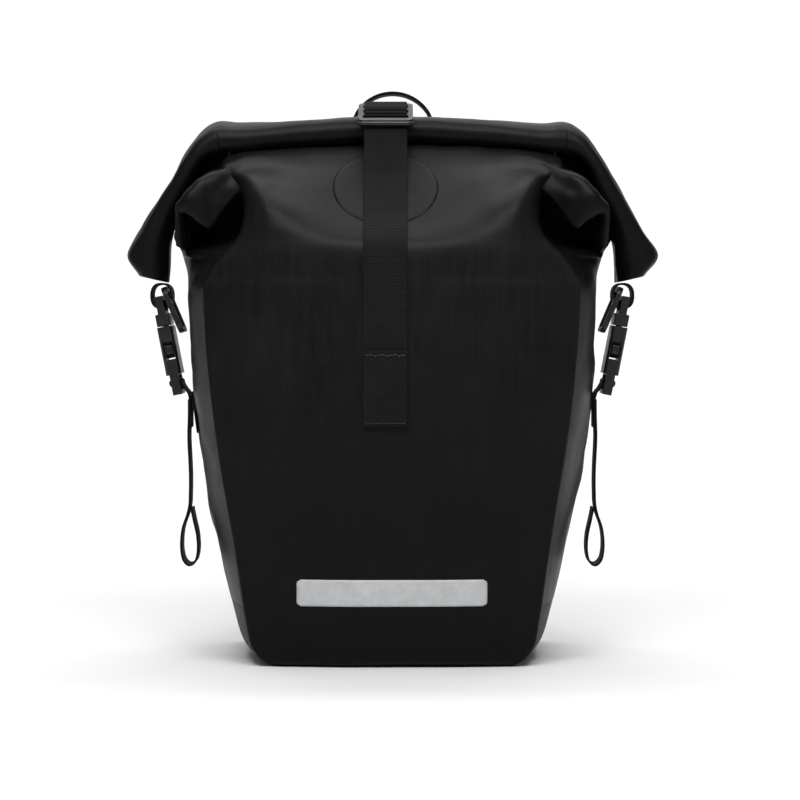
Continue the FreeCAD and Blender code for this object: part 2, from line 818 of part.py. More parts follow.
halves = [handle_half(1), handle_half(-1)]
wide = size("handle_wide")
eyes = []
for spot in (-HOOK_X, HOOK_X):
    eyes.append(eyelet(EYE_GAP, 1.4, spot - wide / 2, spot + wide / 2, EYE_Y, EYE_Z))
soft("handle_strap", halves[0].fuse([halves[1]] + eyes).removeSplitter())

# ---------------------------------------------------------------- lower rail, carriage and hook

track = new_body("lower_rail")
track_face = "(back_face + track_stand)"
bar = rectangle(
    track, "XZ",
    "-track_long / 2", "track_long / 2", "track_mid - track_high / 2", "track_mid + track_high / 2",
    lift="-(" + track_face + " + track_thick)",
)
pad(track, bar, "track_thick")
for left, right in (
    ("-track_long / 2", "-track_long / 2 + foot_long"),
    ("track_long / 2 - foot_long", "track_long / 2"),
):
    foot = rectangle(
        track, "XZ",
        left, right, "track_mid - track_high / 2", "track_mid + track_high / 2",
        lift="-" + track_face,
    )
    pad(track, foot, "track_stand")
drill(track, TRACK_SPOTS)

carriage = new_body("lower_hook_slider")
place(carriage, y=track_face + " + track_thick / 2", z="track_mid")
inner_y = "(track_thick / 2 + slide_gap)"
inner_z = "(track_high / 2 + slide_gap)"
ring = rectangle(
    carriage, "YZ",
    "-" + inner_y + " - carriage_wall + 0.6", inner_y + " + carriage_wall",
    "-" + inner_z + " - carriage_wall", inner_z + " + carriage_wall",
)
pad(carriage, ring, "carriage_wide", midplane=True)
clear = rectangle(carriage, "YZ", "-" + inner_y, inner_y, "-" + inner_z, inner_z)
pocket(carriage, clear, "carriage_wide + 2", midplane=True)
bore = circles(carriage, "XZ", [("0", "0")], "swivel_radius + 0.05")
pocket(carriage, bore, "carriage_wall * 4")

SWIVEL_Y = "(back_face + track_stand + track_thick + slide_gap + carriage_wall)"

pivot = new_body("lower_hook_pivot")
place(pivot, y=SWIVEL_Y, z="track_mid")
shank = circles(pivot, "XZ", [("0", "0")], "swivel_radius", lift="-(claw_thick + 2 * slide_gap)")
pad(pivot, shank, "claw_thick + 2 * slide_gap + carriage_wall")
cap = circles(pivot, "XZ", [("0", "0")], "swivel_radius + 3", lift="-(claw_thick + 2 * slide_gap + 2)")
pad(pivot, cap, "2")

claw = new_body("lower_hook")
place(claw, y=SWIVEL_Y + " + slide_gap", z="track_mid")
outline = polygon(claw, "XZ", [
    ("-8", "8"), ("8", "8"), ("8", "-10"), ("4", "-14"), ("4", "-claw_drop + 10"),
    ("4 + claw_reach", "-claw_drop + 10"), ("4 + claw_reach", "-claw_drop + 24"),
    ("10 + claw_reach", "-claw_drop + 24"), ("10 + claw_reach", "-claw_drop + 3"),
    ("7 + claw_reach", "-claw_drop"), ("-3", "-claw_drop"), ("-8", "-claw_drop + 6"),
], lift="-claw_thick")
pad(claw, outline, "claw_thick")
bore = circles(claw, "XZ", [("0", "0")], "swivel_radius + pin_gap")
pocket(claw, bore, "60", midplane=True)

# ---------------------------------------------------------------- side buckles and straps

for name, side in (("left", "-1"), ("right", "1")):
    sign = float(side)
    lean = side + " * buckle_lean"
    out = side + " * buckle_out"

    shell = new_body(name + "_buckle_female")
    place(shell, x=out, y="roll_middle", z="buckle_mid", angle=lean)
    half = "shell_wide / 2"
    box = rectangle(shell, "YZ", "-" + half, half, "shell_low", "shell_top")
    pad(shell, box, "shell_thick", midplane=True)
    round_edges(shell, "2.5", runs_along(2))
    cavity = rectangle(
        shell, "XY",
        "-cavity_thick / 2", "cavity_thick / 2", "-cavity_wide / 2", "cavity_wide / 2",
        lift="shell_top",
    )
    pocket(shell, cavity, "cavity_deep")
    windows = rectangle(shell, "XZ", "-cavity_thick / 2", "cavity_thick / 2", "window_low", "window_top")
    pocket(shell, windows, "shell_wide + 10", midplane=True)
    tongue = rectangle(shell, "YZ", "-" + half, half, "ladder_low", "shell_low + 0.5")
    pad(shell, tongue, "ladder_thick", midplane=True)
    for low, top in (("shell_low - 4.5", "shell_low - 1"), ("ladder_low + 3.5", "ladder_low + 7.5")):
        gate = rectangle(shell, "YZ", "-side_webbing_wide / 2 - 0.4", "side_webbing_wide / 2 + 0.4", low, top)
        pocket(shell, gate, "ladder_thick + 2", midplane=True)

    plug = new_body(name + "_buckle_male")
    place(plug, x=out, y="roll_middle", z="buckle_mid", angle=lean)
    half = "plug_wide / 2"
    block = rectangle(plug, "YZ", "-" + half, half, "shell_top + plug_gap", "plug_top")
    pad(plug, block, "shell_thick - 1", midplane=True)
    yoke = rectangle(plug, "YZ", "-" + half, half, "plug_top - 0.5", "crossbar_top")
    pad(plug, yoke, "6", midplane=True)
    guide = rectangle(plug, "YZ", "-3", "3", "-8", "shell_top + plug_gap + 0.5")
    pad(plug, guide, "4", midplane=True)
    gate = rectangle(
        plug, "YZ",
        "-side_webbing_wide / 2 - 0.2", "side_webbing_wide / 2 + 0.2",
        "plug_top + 2.5", "crossbar_top - 3.5",
    )
    pocket(plug, gate, "20", midplane=True)

    for where, way in (("front", "-1"), ("rear", "1")):
        prong = new_body(name + "_prong_" + where)
        place(prong, x=out, y="roll_middle", z="buckle_mid", angle=lean)
        corners = [
            ("prong_in", "shell_top"), ("prong_out", "shell_top"), ("prong_out", "window_top - 2"),
            ("prong_head", "window_top - 3"), ("prong_head", "window_low + 5"),
            ("prong_out", "window_low + 1"), ("prong_in", "window_low + 1"),
        ]
        side_view = polygon(prong, "YZ", [(way + " * " + y, z) for y, z in corners])
        pad(prong, side_view, "prong_thick", midplane=True)

    ring = new_body(name + "_d_ring")
    place(ring, x=side + " * ring_out", y="roll_middle", z="ring_high", angle=side + " * ring_lean")
    half = "ring_wide / 2"
    outline = rectangle(ring, "YZ", "-" + half, half, "-ring_long + ring_bar / 2", "ring_bar / 2")
    pad(ring, outline, "ring_bar", midplane=True)
    round_edges(ring, "7", runs_along(0))
    inner = rectangle(
        ring, "YZ",
        "-" + half + " + ring_bar", half + " - ring_bar",
        "-ring_long + ring_bar * 1.5", "-ring_bar / 2",
    )
    pocket(ring, inner, "20", midplane=True)

    # webbing pieces, laid out in the leaning frame of the buckle
    frame = FreeCAD.Placement(
        FreeCAD.Vector(sign * size("buckle_out"), size("roll_middle"), size("buckle_mid")),
        FreeCAD.Rotation(FreeCAD.Vector(0, 1, 0), sign * size("buckle_lean")),
    )
    half = size("side_webbing_wide") / 2

    def box_ring(outer_x, outer_z, wall):
        wide = 2 * half
        outer = Part.makeBox(2 * outer_x, wide, 2 * outer_z, FreeCAD.Vector(-outer_x, -half, -outer_z))
        outer = outer.makeFillet(min(outer_x, outer_z) - 0.2, [e for e in outer.Edges if runs_along(1)(e)])
        inner_x = outer_x - wall
        inner_z = outer_z - wall
        hole = Part.makeBox(2 * inner_x, wide + 2, 2 * inner_z, FreeCAD.Vector(-inner_x, -half - 1, -inner_z))
        radius = max(min(inner_x, inner_z) - 0.2, 0.1)
        hole = hole.makeFillet(radius, [e for e in hole.Edges if runs_along(1)(e)])
        return outer.cut(hole)

    sling = box_ring(8.6, 10.2, WEB)
    sling.Placement = FreeCAD.Placement(
        FreeCAD.Vector(sign * (size("ring_out") + 2.4), size("roll_middle"), size("ring_high") - 4.8),
        FreeCAD.Rotation(),
    )
    soft(name + "_tail_loop", sling)

    patch = Part.makeBox(
        60, size("anchor_wide"), size("anchor_top") - size("anchor_low"),
        FreeCAD.Vector(
            sign * (wall_half(size("anchor_low")) + 5) - 30,
            size("roll_middle") - size("anchor_wide") / 2,
            size("anchor_low"),
        ),
    )
    soft(name + "_anchor_patch", gusset_shell(sign, 0.1, 1.2).common(patch))

    bar_mid = (size("shell_low") - 4.5 + size("ladder_low") + 7.5) / 2
    wrap = Part.makeBox(10.6, 2 * half, 7.4, FreeCAD.Vector(-5.3, -half, bar_mid - 3.7))
    wrap = wrap.cut(Part.makeBox(7.2, 2 * half + 2, 4.2, FreeCAD.Vector(-3.6, -half - 1, bar_mid - 2.1)))
    wrap.Placement = frame
    lower_end = frame.multVec(FreeCAD.Vector(-sign * 4.5, 0, bar_mid))
    rest_x = sign * (wall_half(size("anchor_top")) + 1.2 + 0.2 + WEB / 2)

    def side_band(points, thick):
        """Webbing with its width along Y that follows an (x, z) path."""
        wires = []
        spots = [FreeCAD.Vector(x, size("roll_middle"), z) for x, z in points]
        for i, spot in enumerate(spots):
            run = spots[min(i + 1, len(spots) - 1)] - spots[max(i - 1, 0)]
            run.normalize()
            thin = FreeCAD.Vector(run.z, 0, -run.x) * (thick / 2)
            wide = FreeCAD.Vector(0, half, 0)
            loop = [spot - thin - wide, spot + thin - wide, spot + thin + wide, spot - thin + wide]
            wires.append(Part.makePolygon(loop + [loop[0]]))
        return closed_loft(wires)

    run = side_band([
        (lower_end.x, lower_end.z + 1),
        (rest_x, size("anchor_top") - 3),
        (rest_x, size("anchor_low") + 4),
    ], WEB)
    soft(name + "_side_strap", wrap.fuse(run).removeSplitter())

    hang_x = rest_x + sign * (WEB + 0.3)
    tail_of_strap = side_band([
        (hang_x, size("anchor_top") - 6),
        (hang_x, size("loop_top") - 2),
    ], WEB)
    loop = box_ring(size("loop_wide") / 2, (size("loop_top") - size("loop_low")) / 2, 1.8)
    loop.Placement = FreeCAD.Placement(
        FreeCAD.Vector(hang_x, size("roll_middle"), (size("loop_top") + size("loop_low")) / 2),
        FreeCAD.Rotation(),
    )
    soft(name + "_pull_strap", tail_of_strap.fuse(loop).removeSplitter())

# ---------------------------------------------------------------- check and write

doc.recompute()
pieces = [o for o in doc.Objects if o.TypeId in ("PartDesign::Body", "Part::Feature")]
for item in doc.Objects:
    if "Invalid" in item.State or "Error" in item.State:
        raise RuntimeError("%s could not be rebuilt" % item.Label)
for piece in pieces:
    if piece.Shape.isNull() or not piece.Shape.isValid():
        raise RuntimeError("%s has no sound shape" % piece.Label)

os.makedirs("parts", exist_ok=True)
for piece in pieces:
    piece.Shape.exportStep("parts/%s.step" % piece.Label)
    box = piece.Shape.BoundBox
    print("%-22s solids %d volume %9.1f  x %7.1f %7.1f  y %7.1f %7.1f  z %7.1f %7.1f" % (
        piece.Label, len(piece.Shape.Solids), piece.Shape.Volume,
        box.XMin, box.XMax, box.YMin, box.YMax, box.ZMin, box.ZMax,
    ))
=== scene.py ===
import json
import math

import bmesh
import bpy
from mathutils import Matrix, Vector, noise
from mathutils.bvhtree import BVHTree

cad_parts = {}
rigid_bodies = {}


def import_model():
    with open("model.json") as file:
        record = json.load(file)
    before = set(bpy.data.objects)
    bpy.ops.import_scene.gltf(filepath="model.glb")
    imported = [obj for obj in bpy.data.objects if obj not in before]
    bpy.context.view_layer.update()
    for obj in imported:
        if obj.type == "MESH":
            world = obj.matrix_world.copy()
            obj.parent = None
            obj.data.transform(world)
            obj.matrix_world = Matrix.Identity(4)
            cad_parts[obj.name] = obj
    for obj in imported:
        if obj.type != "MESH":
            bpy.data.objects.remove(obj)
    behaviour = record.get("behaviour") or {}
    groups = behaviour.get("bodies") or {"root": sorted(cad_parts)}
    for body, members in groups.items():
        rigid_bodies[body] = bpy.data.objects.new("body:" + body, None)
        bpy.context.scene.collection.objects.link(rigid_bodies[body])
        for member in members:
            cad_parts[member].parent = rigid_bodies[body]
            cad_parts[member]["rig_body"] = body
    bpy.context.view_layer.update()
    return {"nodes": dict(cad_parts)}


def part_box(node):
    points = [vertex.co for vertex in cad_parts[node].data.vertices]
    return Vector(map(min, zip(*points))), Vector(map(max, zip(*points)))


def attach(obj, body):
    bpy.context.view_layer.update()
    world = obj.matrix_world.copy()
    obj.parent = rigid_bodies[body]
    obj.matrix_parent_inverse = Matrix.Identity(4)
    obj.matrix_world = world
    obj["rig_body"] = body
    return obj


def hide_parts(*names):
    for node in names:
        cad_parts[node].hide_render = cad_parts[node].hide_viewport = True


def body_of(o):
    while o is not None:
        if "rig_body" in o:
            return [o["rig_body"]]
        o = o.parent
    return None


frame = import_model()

# Roll-top pannier bag. Shapes are worked out in millimetres and stored in metres.
# X runs to the right seen from the front, Y towards the rack, Z up.

MM = 0.001


def lowest(node):
    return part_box(node)[0] / MM


def highest(node):
    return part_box(node)[1] / MM


# ---------------------------------------------------------------- sizes from the frame

SHOULDER = highest("right_gusset").z
SHOULDER_HALF = highest("right_gusset").x
BASE_HALF = 113.0
CORNER = 20.0
BELLY = 13.0
FRONT_INSET = 20.0
BACK_INSET = 8.0
FRONT_BULGE = 17.0
SEAM_Y = lowest("right_gusset").y - 1.45
BACK_Y = highest("back_panel").y
MOUTH = highest("front_panel").z
BACK_BEND = 345.0
MOUTH_BACK_Y = 41.0
ROLL_TOP = highest("roll_closure").z
ROLL_Y = (lowest("roll_closure").y + highest("roll_closure").y) / 2
STRAP_LEFT = lowest("centre_strap").x
STRAP_RIGHT = highest("centre_strap").x
STRAP_X = (STRAP_LEFT + STRAP_RIGHT) / 2
STRAP_END = lowest("centre_strap").z
CLOTH = 1.2
SIDES = (("left", -1), ("right", 1))
RIGHT = Vector((1, 0, 0))
DEEP = Vector((0, 1, 0))


def mix(a, b, share):
    return a + (b - a) * share


def ease(value, start, end):
    """0 before start, 1 after end, and an even bend between."""
    share = min(1.0, max(0.0, (value - start) / (end - start)))
    return share * share * (3 - 2 * share)


def circle(count):
    """Cosine and sine at even turns round a circle."""
    turns = [2 * math.pi * k / count for k in range(count)]
    return [(math.cos(turn), math.sin(turn)) for turn in turns]


def squared(value, power):
    """A cosine or sine raised so that its circle grows corners."""
    return math.copysign(abs(value) ** power, value)


def wall_half(z):
    """Half width of the bag's side walls at a height."""
    share = z / SHOULDER
    tuck = 0.0
    if z < CORNER:
        tuck = CORNER - math.sqrt(CORNER ** 2 - (CORNER - z) ** 2)
    return mix(BASE_HALF, SHOULDER_HALF, share) + 4 * BELLY * share * (1 - share) - tuck


def front_half(z):
    return wall_half(z) - FRONT_INSET * (0.5 + 0.5 * min(1.0, z / 100))


def back_half(z):
    return wall_half(min(z, SHOULDER)) - BACK_INSET


def back_line(z):
    return mix(BACK_Y, MOUTH_BACK_Y, max(0.0, (z - BACK_BEND) / (MOUTH - BACK_BEND)))


def side_half(z, share):
    """Half width of a gusset from its front seam (0) to its back seam (1)."""
    near, far = front_half(z), back_half(z)
    return mix(near, far, share) + (wall_half(z) - (near + far) / 2) * 4 * share * (1 - share)


def front_swell(z):
    return FRONT_BULGE * min(1.0, 0.4 + 0.6 * z / 60)


# ---------------------------------------------------------------- finishes


class Wire:
    """A shader value that can be written into sums."""

    def __init__(self, finish, socket):
        self.finish = finish
        self.socket = socket

    def sum(self, operation, first, second=0.0):
        return self.finish.node("ShaderNodeMath", {"operation": operation}, {0: first, 1: second})

    def __add__(self, other):
        return self.sum("ADD", self, other)

    __radd__ = __add__

    def __sub__(self, other):
        return self.sum("SUBTRACT", self, other)

    def __rsub__(self, other):
        return self.sum("SUBTRACT", other, self)

    def __mul__(self, other):
        return self.sum("MULTIPLY", self, other)

    def sine(self):
        return self.sum("SINE", self)

    def whole(self):
        return self.sum("FLOOR", self)

    def size(self):
        return self.sum("ABSOLUTE", self)

    def limited(self, low=0.0, high=1.0):
        return self.finish.node("ShaderNodeClamp", {}, {"Value": self, "Min": low, "Max": high})


class Finish:
    """One material of the bag, built node by node."""

    def __init__(self, name, **surface):
        self.material = bpy.data.materials.new(name)
        self.material.use_nodes = True
        self.tree = self.material.node_tree
        self.shader = self.tree.nodes["Principled BSDF"]
        for word, value in surface.items():
            self.shader.inputs[word.replace("_", " ")].default_value = value

    def plug(self, socket, value):
        if isinstance(value, Wire):
            self.tree.links.new(value.socket, socket)
        else:
            socket.default_value = value

    def node(self, kind, settings, inputs, out=0):
        made = self.tree.nodes.new(kind)
        for word, value in settings.items():
            setattr(made, word, value)
        for socket, value in inputs.items():
            self.plug(made.inputs[socket], value)
        return Wire(self, made.outputs[out])

    def paint(self, socket, value):
        self.plug(self.shader.inputs[socket], value)

    def cloth_map(self):
        """Distance across and along the cloth, in millimetres."""
        flat = self.node("ShaderNodeUVMap", {"uv_map": "cloth"}, {})
        across = self.node("ShaderNodeSeparateXYZ", {}, {0: flat}, "X")
        along = self.node("ShaderNodeSeparateXYZ", {}, {0: flat}, "Y")
        return across * 1000, along * 1000

    def place(self):
        return self.node("ShaderNodeTexCoord", {}, {}, "Object")

    def stretched(self, vector, scale):
        return self.node("ShaderNodeMapping", {}, {"Vector": vector, "Scale": scale})

    def cloud(self, vector, scale, detail=3.0, rough=0.5):
        inputs = {"Vector": vector, "Scale": scale, "Detail": detail, "Roughness": rough}
        return self.node("ShaderNodeTexNoise", {}, inputs)

    def graded(self, value, start, end):
        """0 up to start, 1 from end on, and even between."""
        ramp = self.node("ShaderNodeValToRGB", {}, {"Fac": value})
        stops = ramp.socket.node.color_ramp.elements
        stops[0].position = start
        stops[1].position = end
        return ramp * 1.0

    def tint(self, share, first, second):
        inputs = {"Factor": share, 6: (*first, 1), 7: (*second, 1)}
        return self.node("ShaderNodeMix", {"data_type": "RGBA"}, inputs, 2)

    def bumped(self, height, distance, strength=1.0, under=None):
        inputs = {"Height": height, "Distance": distance, "Strength": strength}
        if under is not None:
            inputs["Normal"] = under
        return self.node("ShaderNodeBump", {}, inputs)

    def worn_edges(self, start=0.52, end=0.6):
        point = self.node("ShaderNodeNewGeometry", {}, {}, "Pointiness")
        return self.graded(point, start, end)


def tarpaulin(name, dark, light, gloss, twill=1.0, streaks=0.0):
    """Coated polyester: a fine diagonal twill under a cloudy satin coat, with painted shade that darkens its
    colour towards the bottom.
    """
    finish = Finish(name, Specular_IOR_Level=0.1, Coat_Roughness=0.3)
    across, along = finish.cloth_map()
    place = finish.place()
    diagonal = (across + along) * (2 * math.pi / 2.3)
    counter = (across - along) * (2 * math.pi / 1.15)
    rib = diagonal.sine() * 0.5 + 0.5
    tooth = counter.sine() * 0.5 + 0.5
    weave = rib * 0.7 + tooth * 0.3
    clouds = finish.cloud(place, 16.0, 4.0, 0.55)
    scuffs = finish.graded(finish.cloud(place, 55.0, 6.0, 0.7), 0.52, 0.74)
    grain = finish.cloud(place, 1400.0, 2.0, 0.6)
    comb = finish.cloud(finish.stretched(place, (420.0, 90.0, 22.0)), 1.0, 3.0, 0.6)
    lines = (comb - 0.5) * streaks
    # Painted shade: the colour darkens towards the bottom of the bag, fading out above about 26 cm.
    high = finish.node("ShaderNodeSeparateXYZ", {}, {0: place}, "Z")
    painted_low_shade = (high * 4.2 - 0.1).limited(0.04, 1.0)
    share = ((clouds * 0.55 + weave * 0.3 * twill + scuffs * 0.2 + lines * 0.8) * painted_low_shade).limited()
    finish.paint("Base Color", finish.tint(share, dark, light))
    rough = gloss + (clouds - 0.5) * 0.22 + scuffs * 0.08 - weave * 0.06 * twill + lines * 0.3
    finish.paint("Roughness", rough.limited(0.2, 0.95))
    finish.paint("Coat Weight", (0.04 - scuffs * 0.03).limited())
    coarse = finish.bumped(clouds * 0.6 + comb * streaks * 0.3, 0.0012, 0.35)
    fine = finish.bumped(weave * twill + grain * 0.35, 0.00016, 0.55, coarse)
    finish.paint("Normal", fine)
    return finish.material


def woven(name, dark, light, rib=1.7, yarn=1.1, across_ribs=1.0):
    """Polyester webbing: ribs across the strap, crossed by fine warp yarns."""
    finish = Finish(name, Specular_IOR_Level=0.15, Sheen_Weight=0.03, Sheen_Roughness=0.4)
    across, along = finish.cloth_map()
    place = finish.place()
    row = (along * (1 / rib)).whole()
    ribs = (along * (math.pi / rib)).sine().size()
    warp = ((across + row * (yarn / 2)) * (math.pi / yarn)).sine().size()
    fuzz = finish.cloud(place, 2600.0, 2.0, 0.7)
    patchy = finish.cloud(place, 60.0, 4.0, 0.6)
    height = ribs * 0.75 * across_ribs + warp * 0.3 + fuzz * 0.2
    share = (ribs * 0.5 + warp * 0.2 + (patchy - 0.5) * 0.8 + (fuzz - 0.5) * 0.3).limited()
    finish.paint("Base Color", finish.tint(share, dark, light))
    finish.paint("Roughness", (0.86 - ribs * 0.14 + (patchy - 0.5) * 0.1).limited(0.4, 1.0))
    finish.paint("Normal", finish.bumped(height, 0.00045, 0.8))
    return finish.material


def moulding(name, dark, light, rough, speckle=0.5):
    """Moulded plastic with a spark-eroded skin that is polished at its edges."""
    finish = Finish(name, Specular_IOR_Level=0.5, Coat_Roughness=0.25)
    place = finish.place()
    skin = finish.cloud(place, 3200.0, 2.0, 0.5)
    flow = finish.cloud(finish.stretched(place, (60.0, 60.0, 220.0)), 1.0, 3.0, 0.5)
    wear = finish.worn_edges()
    dust = finish.graded(finish.cloud(place, 90.0, 5.0, 0.7), 0.5, 0.75)
    share = (flow * 0.35 + wear * 0.5 + dust * 0.2).limited()
    finish.paint("Base Color", finish.tint(share, dark, light))
    finish.paint("Roughness", (rough + (flow - 0.5) * 0.14 + dust * 0.1 - wear * 0.12).limited(0.15, 0.9))
    finish.paint("Coat Weight", (wear * 0.2).limited())
    finish.paint("Normal", finish.bumped(skin * speckle + flow * 0.4, 0.00008, 0.5))
    return finish.material


def metal(name, dark, light, rough, brush):
    """Brushed or plated metal with fine lines, handling marks and bright edges."""
    finish = Finish(name, Metallic=1.0)
    place = finish.place()
    lines = finish.cloud(finish.stretched(place, brush), 1.0, 4.0, 0.7)
    marks = finish.graded(finish.cloud(place, 45.0, 6.0, 0.75), 0.45, 0.75)
    wear = finish.worn_edges()
    share = (lines * 0.5 + marks * 0.3 + wear * 0.5).limited()
    finish.paint("Base Color", finish.tint(share, dark, light))
    finish.paint("Roughness", (rough + (lines - 0.5) * 0.2 + marks * 0.12 - wear * 0.1).limited(0.12, 0.8))
    finish.paint("Normal", finish.bumped(lines * 0.7 + marks * 0.3, 0.00005, 0.6))
    return finish.material


def glass_bead(name):
    """Reflective transfer film: pale silver, set with rows of tiny beads."""
    finish = Finish(name, Specular_IOR_Level=0.6)
    across, along = finish.cloth_map()
    place = finish.place()
    row = (along * (1 / 0.9)).whole()
    beads = ((across + row * 0.45) * (math.pi / 0.9)).sine().size() * (along * (math.pi / 0.9)).sine().size()
    age = finish.cloud(place, 120.0, 5.0, 0.7)
    share = (beads * 0.4 + (age - 0.35) * 0.9).limited()
    finish.paint("Base Color", finish.tint(share, (0.42, 0.43, 0.44), (0.74, 0.75, 0.76)))
    finish.paint("Roughness", (0.42 + (age - 0.5) * 0.3 - beads * 0.1).limited(0.15, 0.9))
    finish.paint("Normal", finish.bumped(beads, 0.00012, 0.6))
    return finish.material


def twisted_thread(name):
    finish = Finish(name, Specular_IOR_Level=0.35, Sheen_Weight=0.1)
    across, along = finish.cloth_map()
    ply = ((across + along * 1.4) * (2 * math.pi / 0.5)).sine() * 0.5 + 0.5
    fuzz = finish.cloud(finish.place(), 3000.0, 2.0, 0.6)
    share = (ply * 0.6 + fuzz * 0.3).limited()
    finish.paint("Base Color", finish.tint(share, (0.012, 0.012, 0.013), (0.06, 0.06, 0.063)))
    finish.paint("Roughness", (0.75 - ply * 0.15 + fuzz * 0.1).limited())
    finish.paint("Normal", finish.bumped(ply + fuzz * 0.3, 0.0001, 0.7))
    return finish.material


def pale_ground(name):
    finish = Finish(name, Specular_IOR_Level=0.1)
    mottle = finish.cloud(finish.place(), 4.0, 2.0, 0.5)
    finish.paint("Base Color", finish.tint(mottle, (0.86, 0.86, 0.86), (0.9, 0.9, 0.9)))
    finish.paint("Roughness", (0.8 + (mottle - 0.5) * 0.1).limited())
    return finish.material


BLACK = (0.002, 0.002, 0.0022)
FRONT_TARPAULIN = tarpaulin("front_tarpaulin", BLACK, (0.013, 0.013, 0.0135), 0.48, 1.0, 0.9)
SIDE_TARPAULIN = tarpaulin("side_tarpaulin", BLACK, (0.0075, 0.0075, 0.008), 0.46, 0.5)
PATCH_TARPAULIN = tarpaulin("patch_tarpaulin", BLACK, (0.0115, 0.0115, 0.012), 0.48, 1.0, 0.9)
BOOT_TARPAULIN = tarpaulin("boot_tarpaulin", BLACK, (0.007, 0.007, 0.0074), 0.52, 0.7)
ROLL_TARPAULIN = tarpaulin("roll_tarpaulin", BLACK, (0.0075, 0.0075, 0.008), 0.48, 0.6)
WELD_FILM = tarpaulin("weld_film", (0.005, 0.005, 0.0055), (0.018, 0.018, 0.019), 0.42, 0.2)
STRAP_WEBBING = woven("strap_webbing", (0.001, 0.001, 0.0011), (0.011, 0.011, 0.0114))
HANDLE_WEBBING = woven("handle_webbing", (0.001, 0.001, 0.0011), (0.0065, 0.0065, 0.0068), 1.4, 0.9)
THREAD = twisted_thread("bonded_thread")
BUCKLE_PLASTIC = moulding("buckle_plastic", (0.0025, 0.0025, 0.0027), (0.011, 0.011, 0.0114), 0.42)
HOOK_PLASTIC = moulding("hook_plastic", (0.006, 0.006, 0.0065), (0.026, 0.026, 0.027), 0.48, 0.8)
LINER_PLASTIC = moulding("liner_plastic", (0.05, 0.052, 0.055), (0.12, 0.122, 0.125), 0.55)
INNER_PLASTIC = moulding("inner_plastic", (0.03, 0.03, 0.031), (0.07, 0.07, 0.071), 0.6)
RAIL_METAL = metal("rail_metal", (0.03, 0.03, 0.032), (0.12, 0.12, 0.125), 0.42, (30.0, 900.0, 900.0))
SCREW_METAL = metal("screw_metal", (0.35, 0.35, 0.36), (0.62, 0.62, 0.63), 0.32, (700.0, 700.0, 700.0))
REFLECTOR = glass_bead("reflective_film")
GROUND = pale_ground("pale_ground")

# ---------------------------------------------------------------- making pieces


def through(points, steps):
    """A smooth line through points, with even steps between each two."""
    ends = [2 * points[0] - points[1]] + list(points) + [2 * points[-1] - points[-2]]
    line = []
    for i in range(len(points) - 1):
        a, b, c, d = ends[i:i + 4]
        for k in range(steps):
            t = k / steps
            bend = 2 * b + (c - a) * t + (2 * a - 5 * b + 4 * c - d) * t * t
            line.append((bend + (3 * b - a - 3 * c + d) * t ** 3) * 0.5)
    line.append(points[-1].copy())
    return line


def quilt(rows, across, along):
    """A fine smooth grid through rows of points."""
    dense = [through(row, across) for row in rows]
    columns = [through(list(column), along) for column in zip(*dense)]
    return [list(row) for row in zip(*columns)]


def outward(grid, i, j):
    """The cloth's normal at one point of a grid."""
    row = grid[i]
    across = row[min(j + 1, len(row) - 1)] - row[max(j - 1, 0)]
    along = grid[min(i + 1, len(grid) - 1)][j] - grid[max(i - 1, 0)][j]
    normal = across.cross(along)
    return normal.normalized() if normal.length > 1e-9 else Vector((0, 0, 1))


def creased(grid, amount, scale, shift=0.0, share=lambda point: 1.0):
    """The same grid with soft creases pressed into it."""
    moved = []
    for i, row in enumerate(grid):
        line = []
        for j, point in enumerate(row):
            spot = Vector((point.x / scale[0], point.y / scale[1], point.z / scale[2] + shift))
            depth = noise.noise(spot) * amount * share(point)
            line.append(point + outward(grid, i, j) * depth)
        moved.append(line)
    return moved


def placed(name, data):
    thing = bpy.data.objects.new(name, data)
    bpy.context.scene.collection.objects.link(thing)
    return thing


def finished(name, mesh, finish, body, stands_for):
    """Make the piece, say what it rides on, and hide the model parts it stands for."""
    piece = placed(name, mesh)
    mesh.materials.append(finish)
    for face in mesh.polygons:
        face.use_smooth = True
    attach(piece, body)
    if stands_for:
        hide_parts(*stands_for)
    return piece


def mapped(mesh, flat):
    """Store each corner's place on the flat cloth."""
    layer = mesh.uv_layers.new(name="cloth")
    for loop in mesh.loops:
        layer.data[loop.index].uv = flat[loop.vertex_index]


def span(row):
    """The length of a row of points."""
    return sum((b - a).length for a, b in zip(row, row[1:]))


def grid_faces(grid):
    """Four-cornered faces between the rows of a grid."""
    wide = len(grid[0])
    starts = [i * wide + j for i in range(len(grid) - 1) for j in range(wide - 1)]
    return [(corner, corner + 1, corner + wide + 1, corner + wide) for corner in starts]


def lay_cloth(name, grid, finish, thick=CLOTH, stands_for=()):
    """A sheet of cloth over a grid of points, with its thickness."""
    wide = len(grid[0])
    middle = wide // 2
    points = [point * MM for row in grid for point in row]
    flat = []
    rise = [0.0] * wide
    for i, row in enumerate(grid):
        reach = [0.0]
        for j in range(1, wide):
            reach.append(reach[-1] + (row[j] - row[j - 1]).length)
        for j in range(wide):
            if i:
                rise[j] += (row[j] - grid[i - 1][j]).length
            flat.append(((reach[j] - reach[middle]) * MM, rise[j] * MM))
    mesh = bpy.data.meshes.new(name)
    mesh.from_pydata(points, [], grid_faces(grid))
    mapped(mesh, flat)
    piece = finished(name, mesh, finish, "bag", stands_for)
    layer = piece.modifiers.new("thickness", "SOLIDIFY")
    layer.thickness = thick * MM
    layer.offset = 0.0
    widest = max(span(row) for row in grid) * MM
    longest = max(rise) * MM
    cut = sum(face.area for face in mesh.polygons)
    cut = min(max(cut, 0.3 * widest * longest), widest * longest)


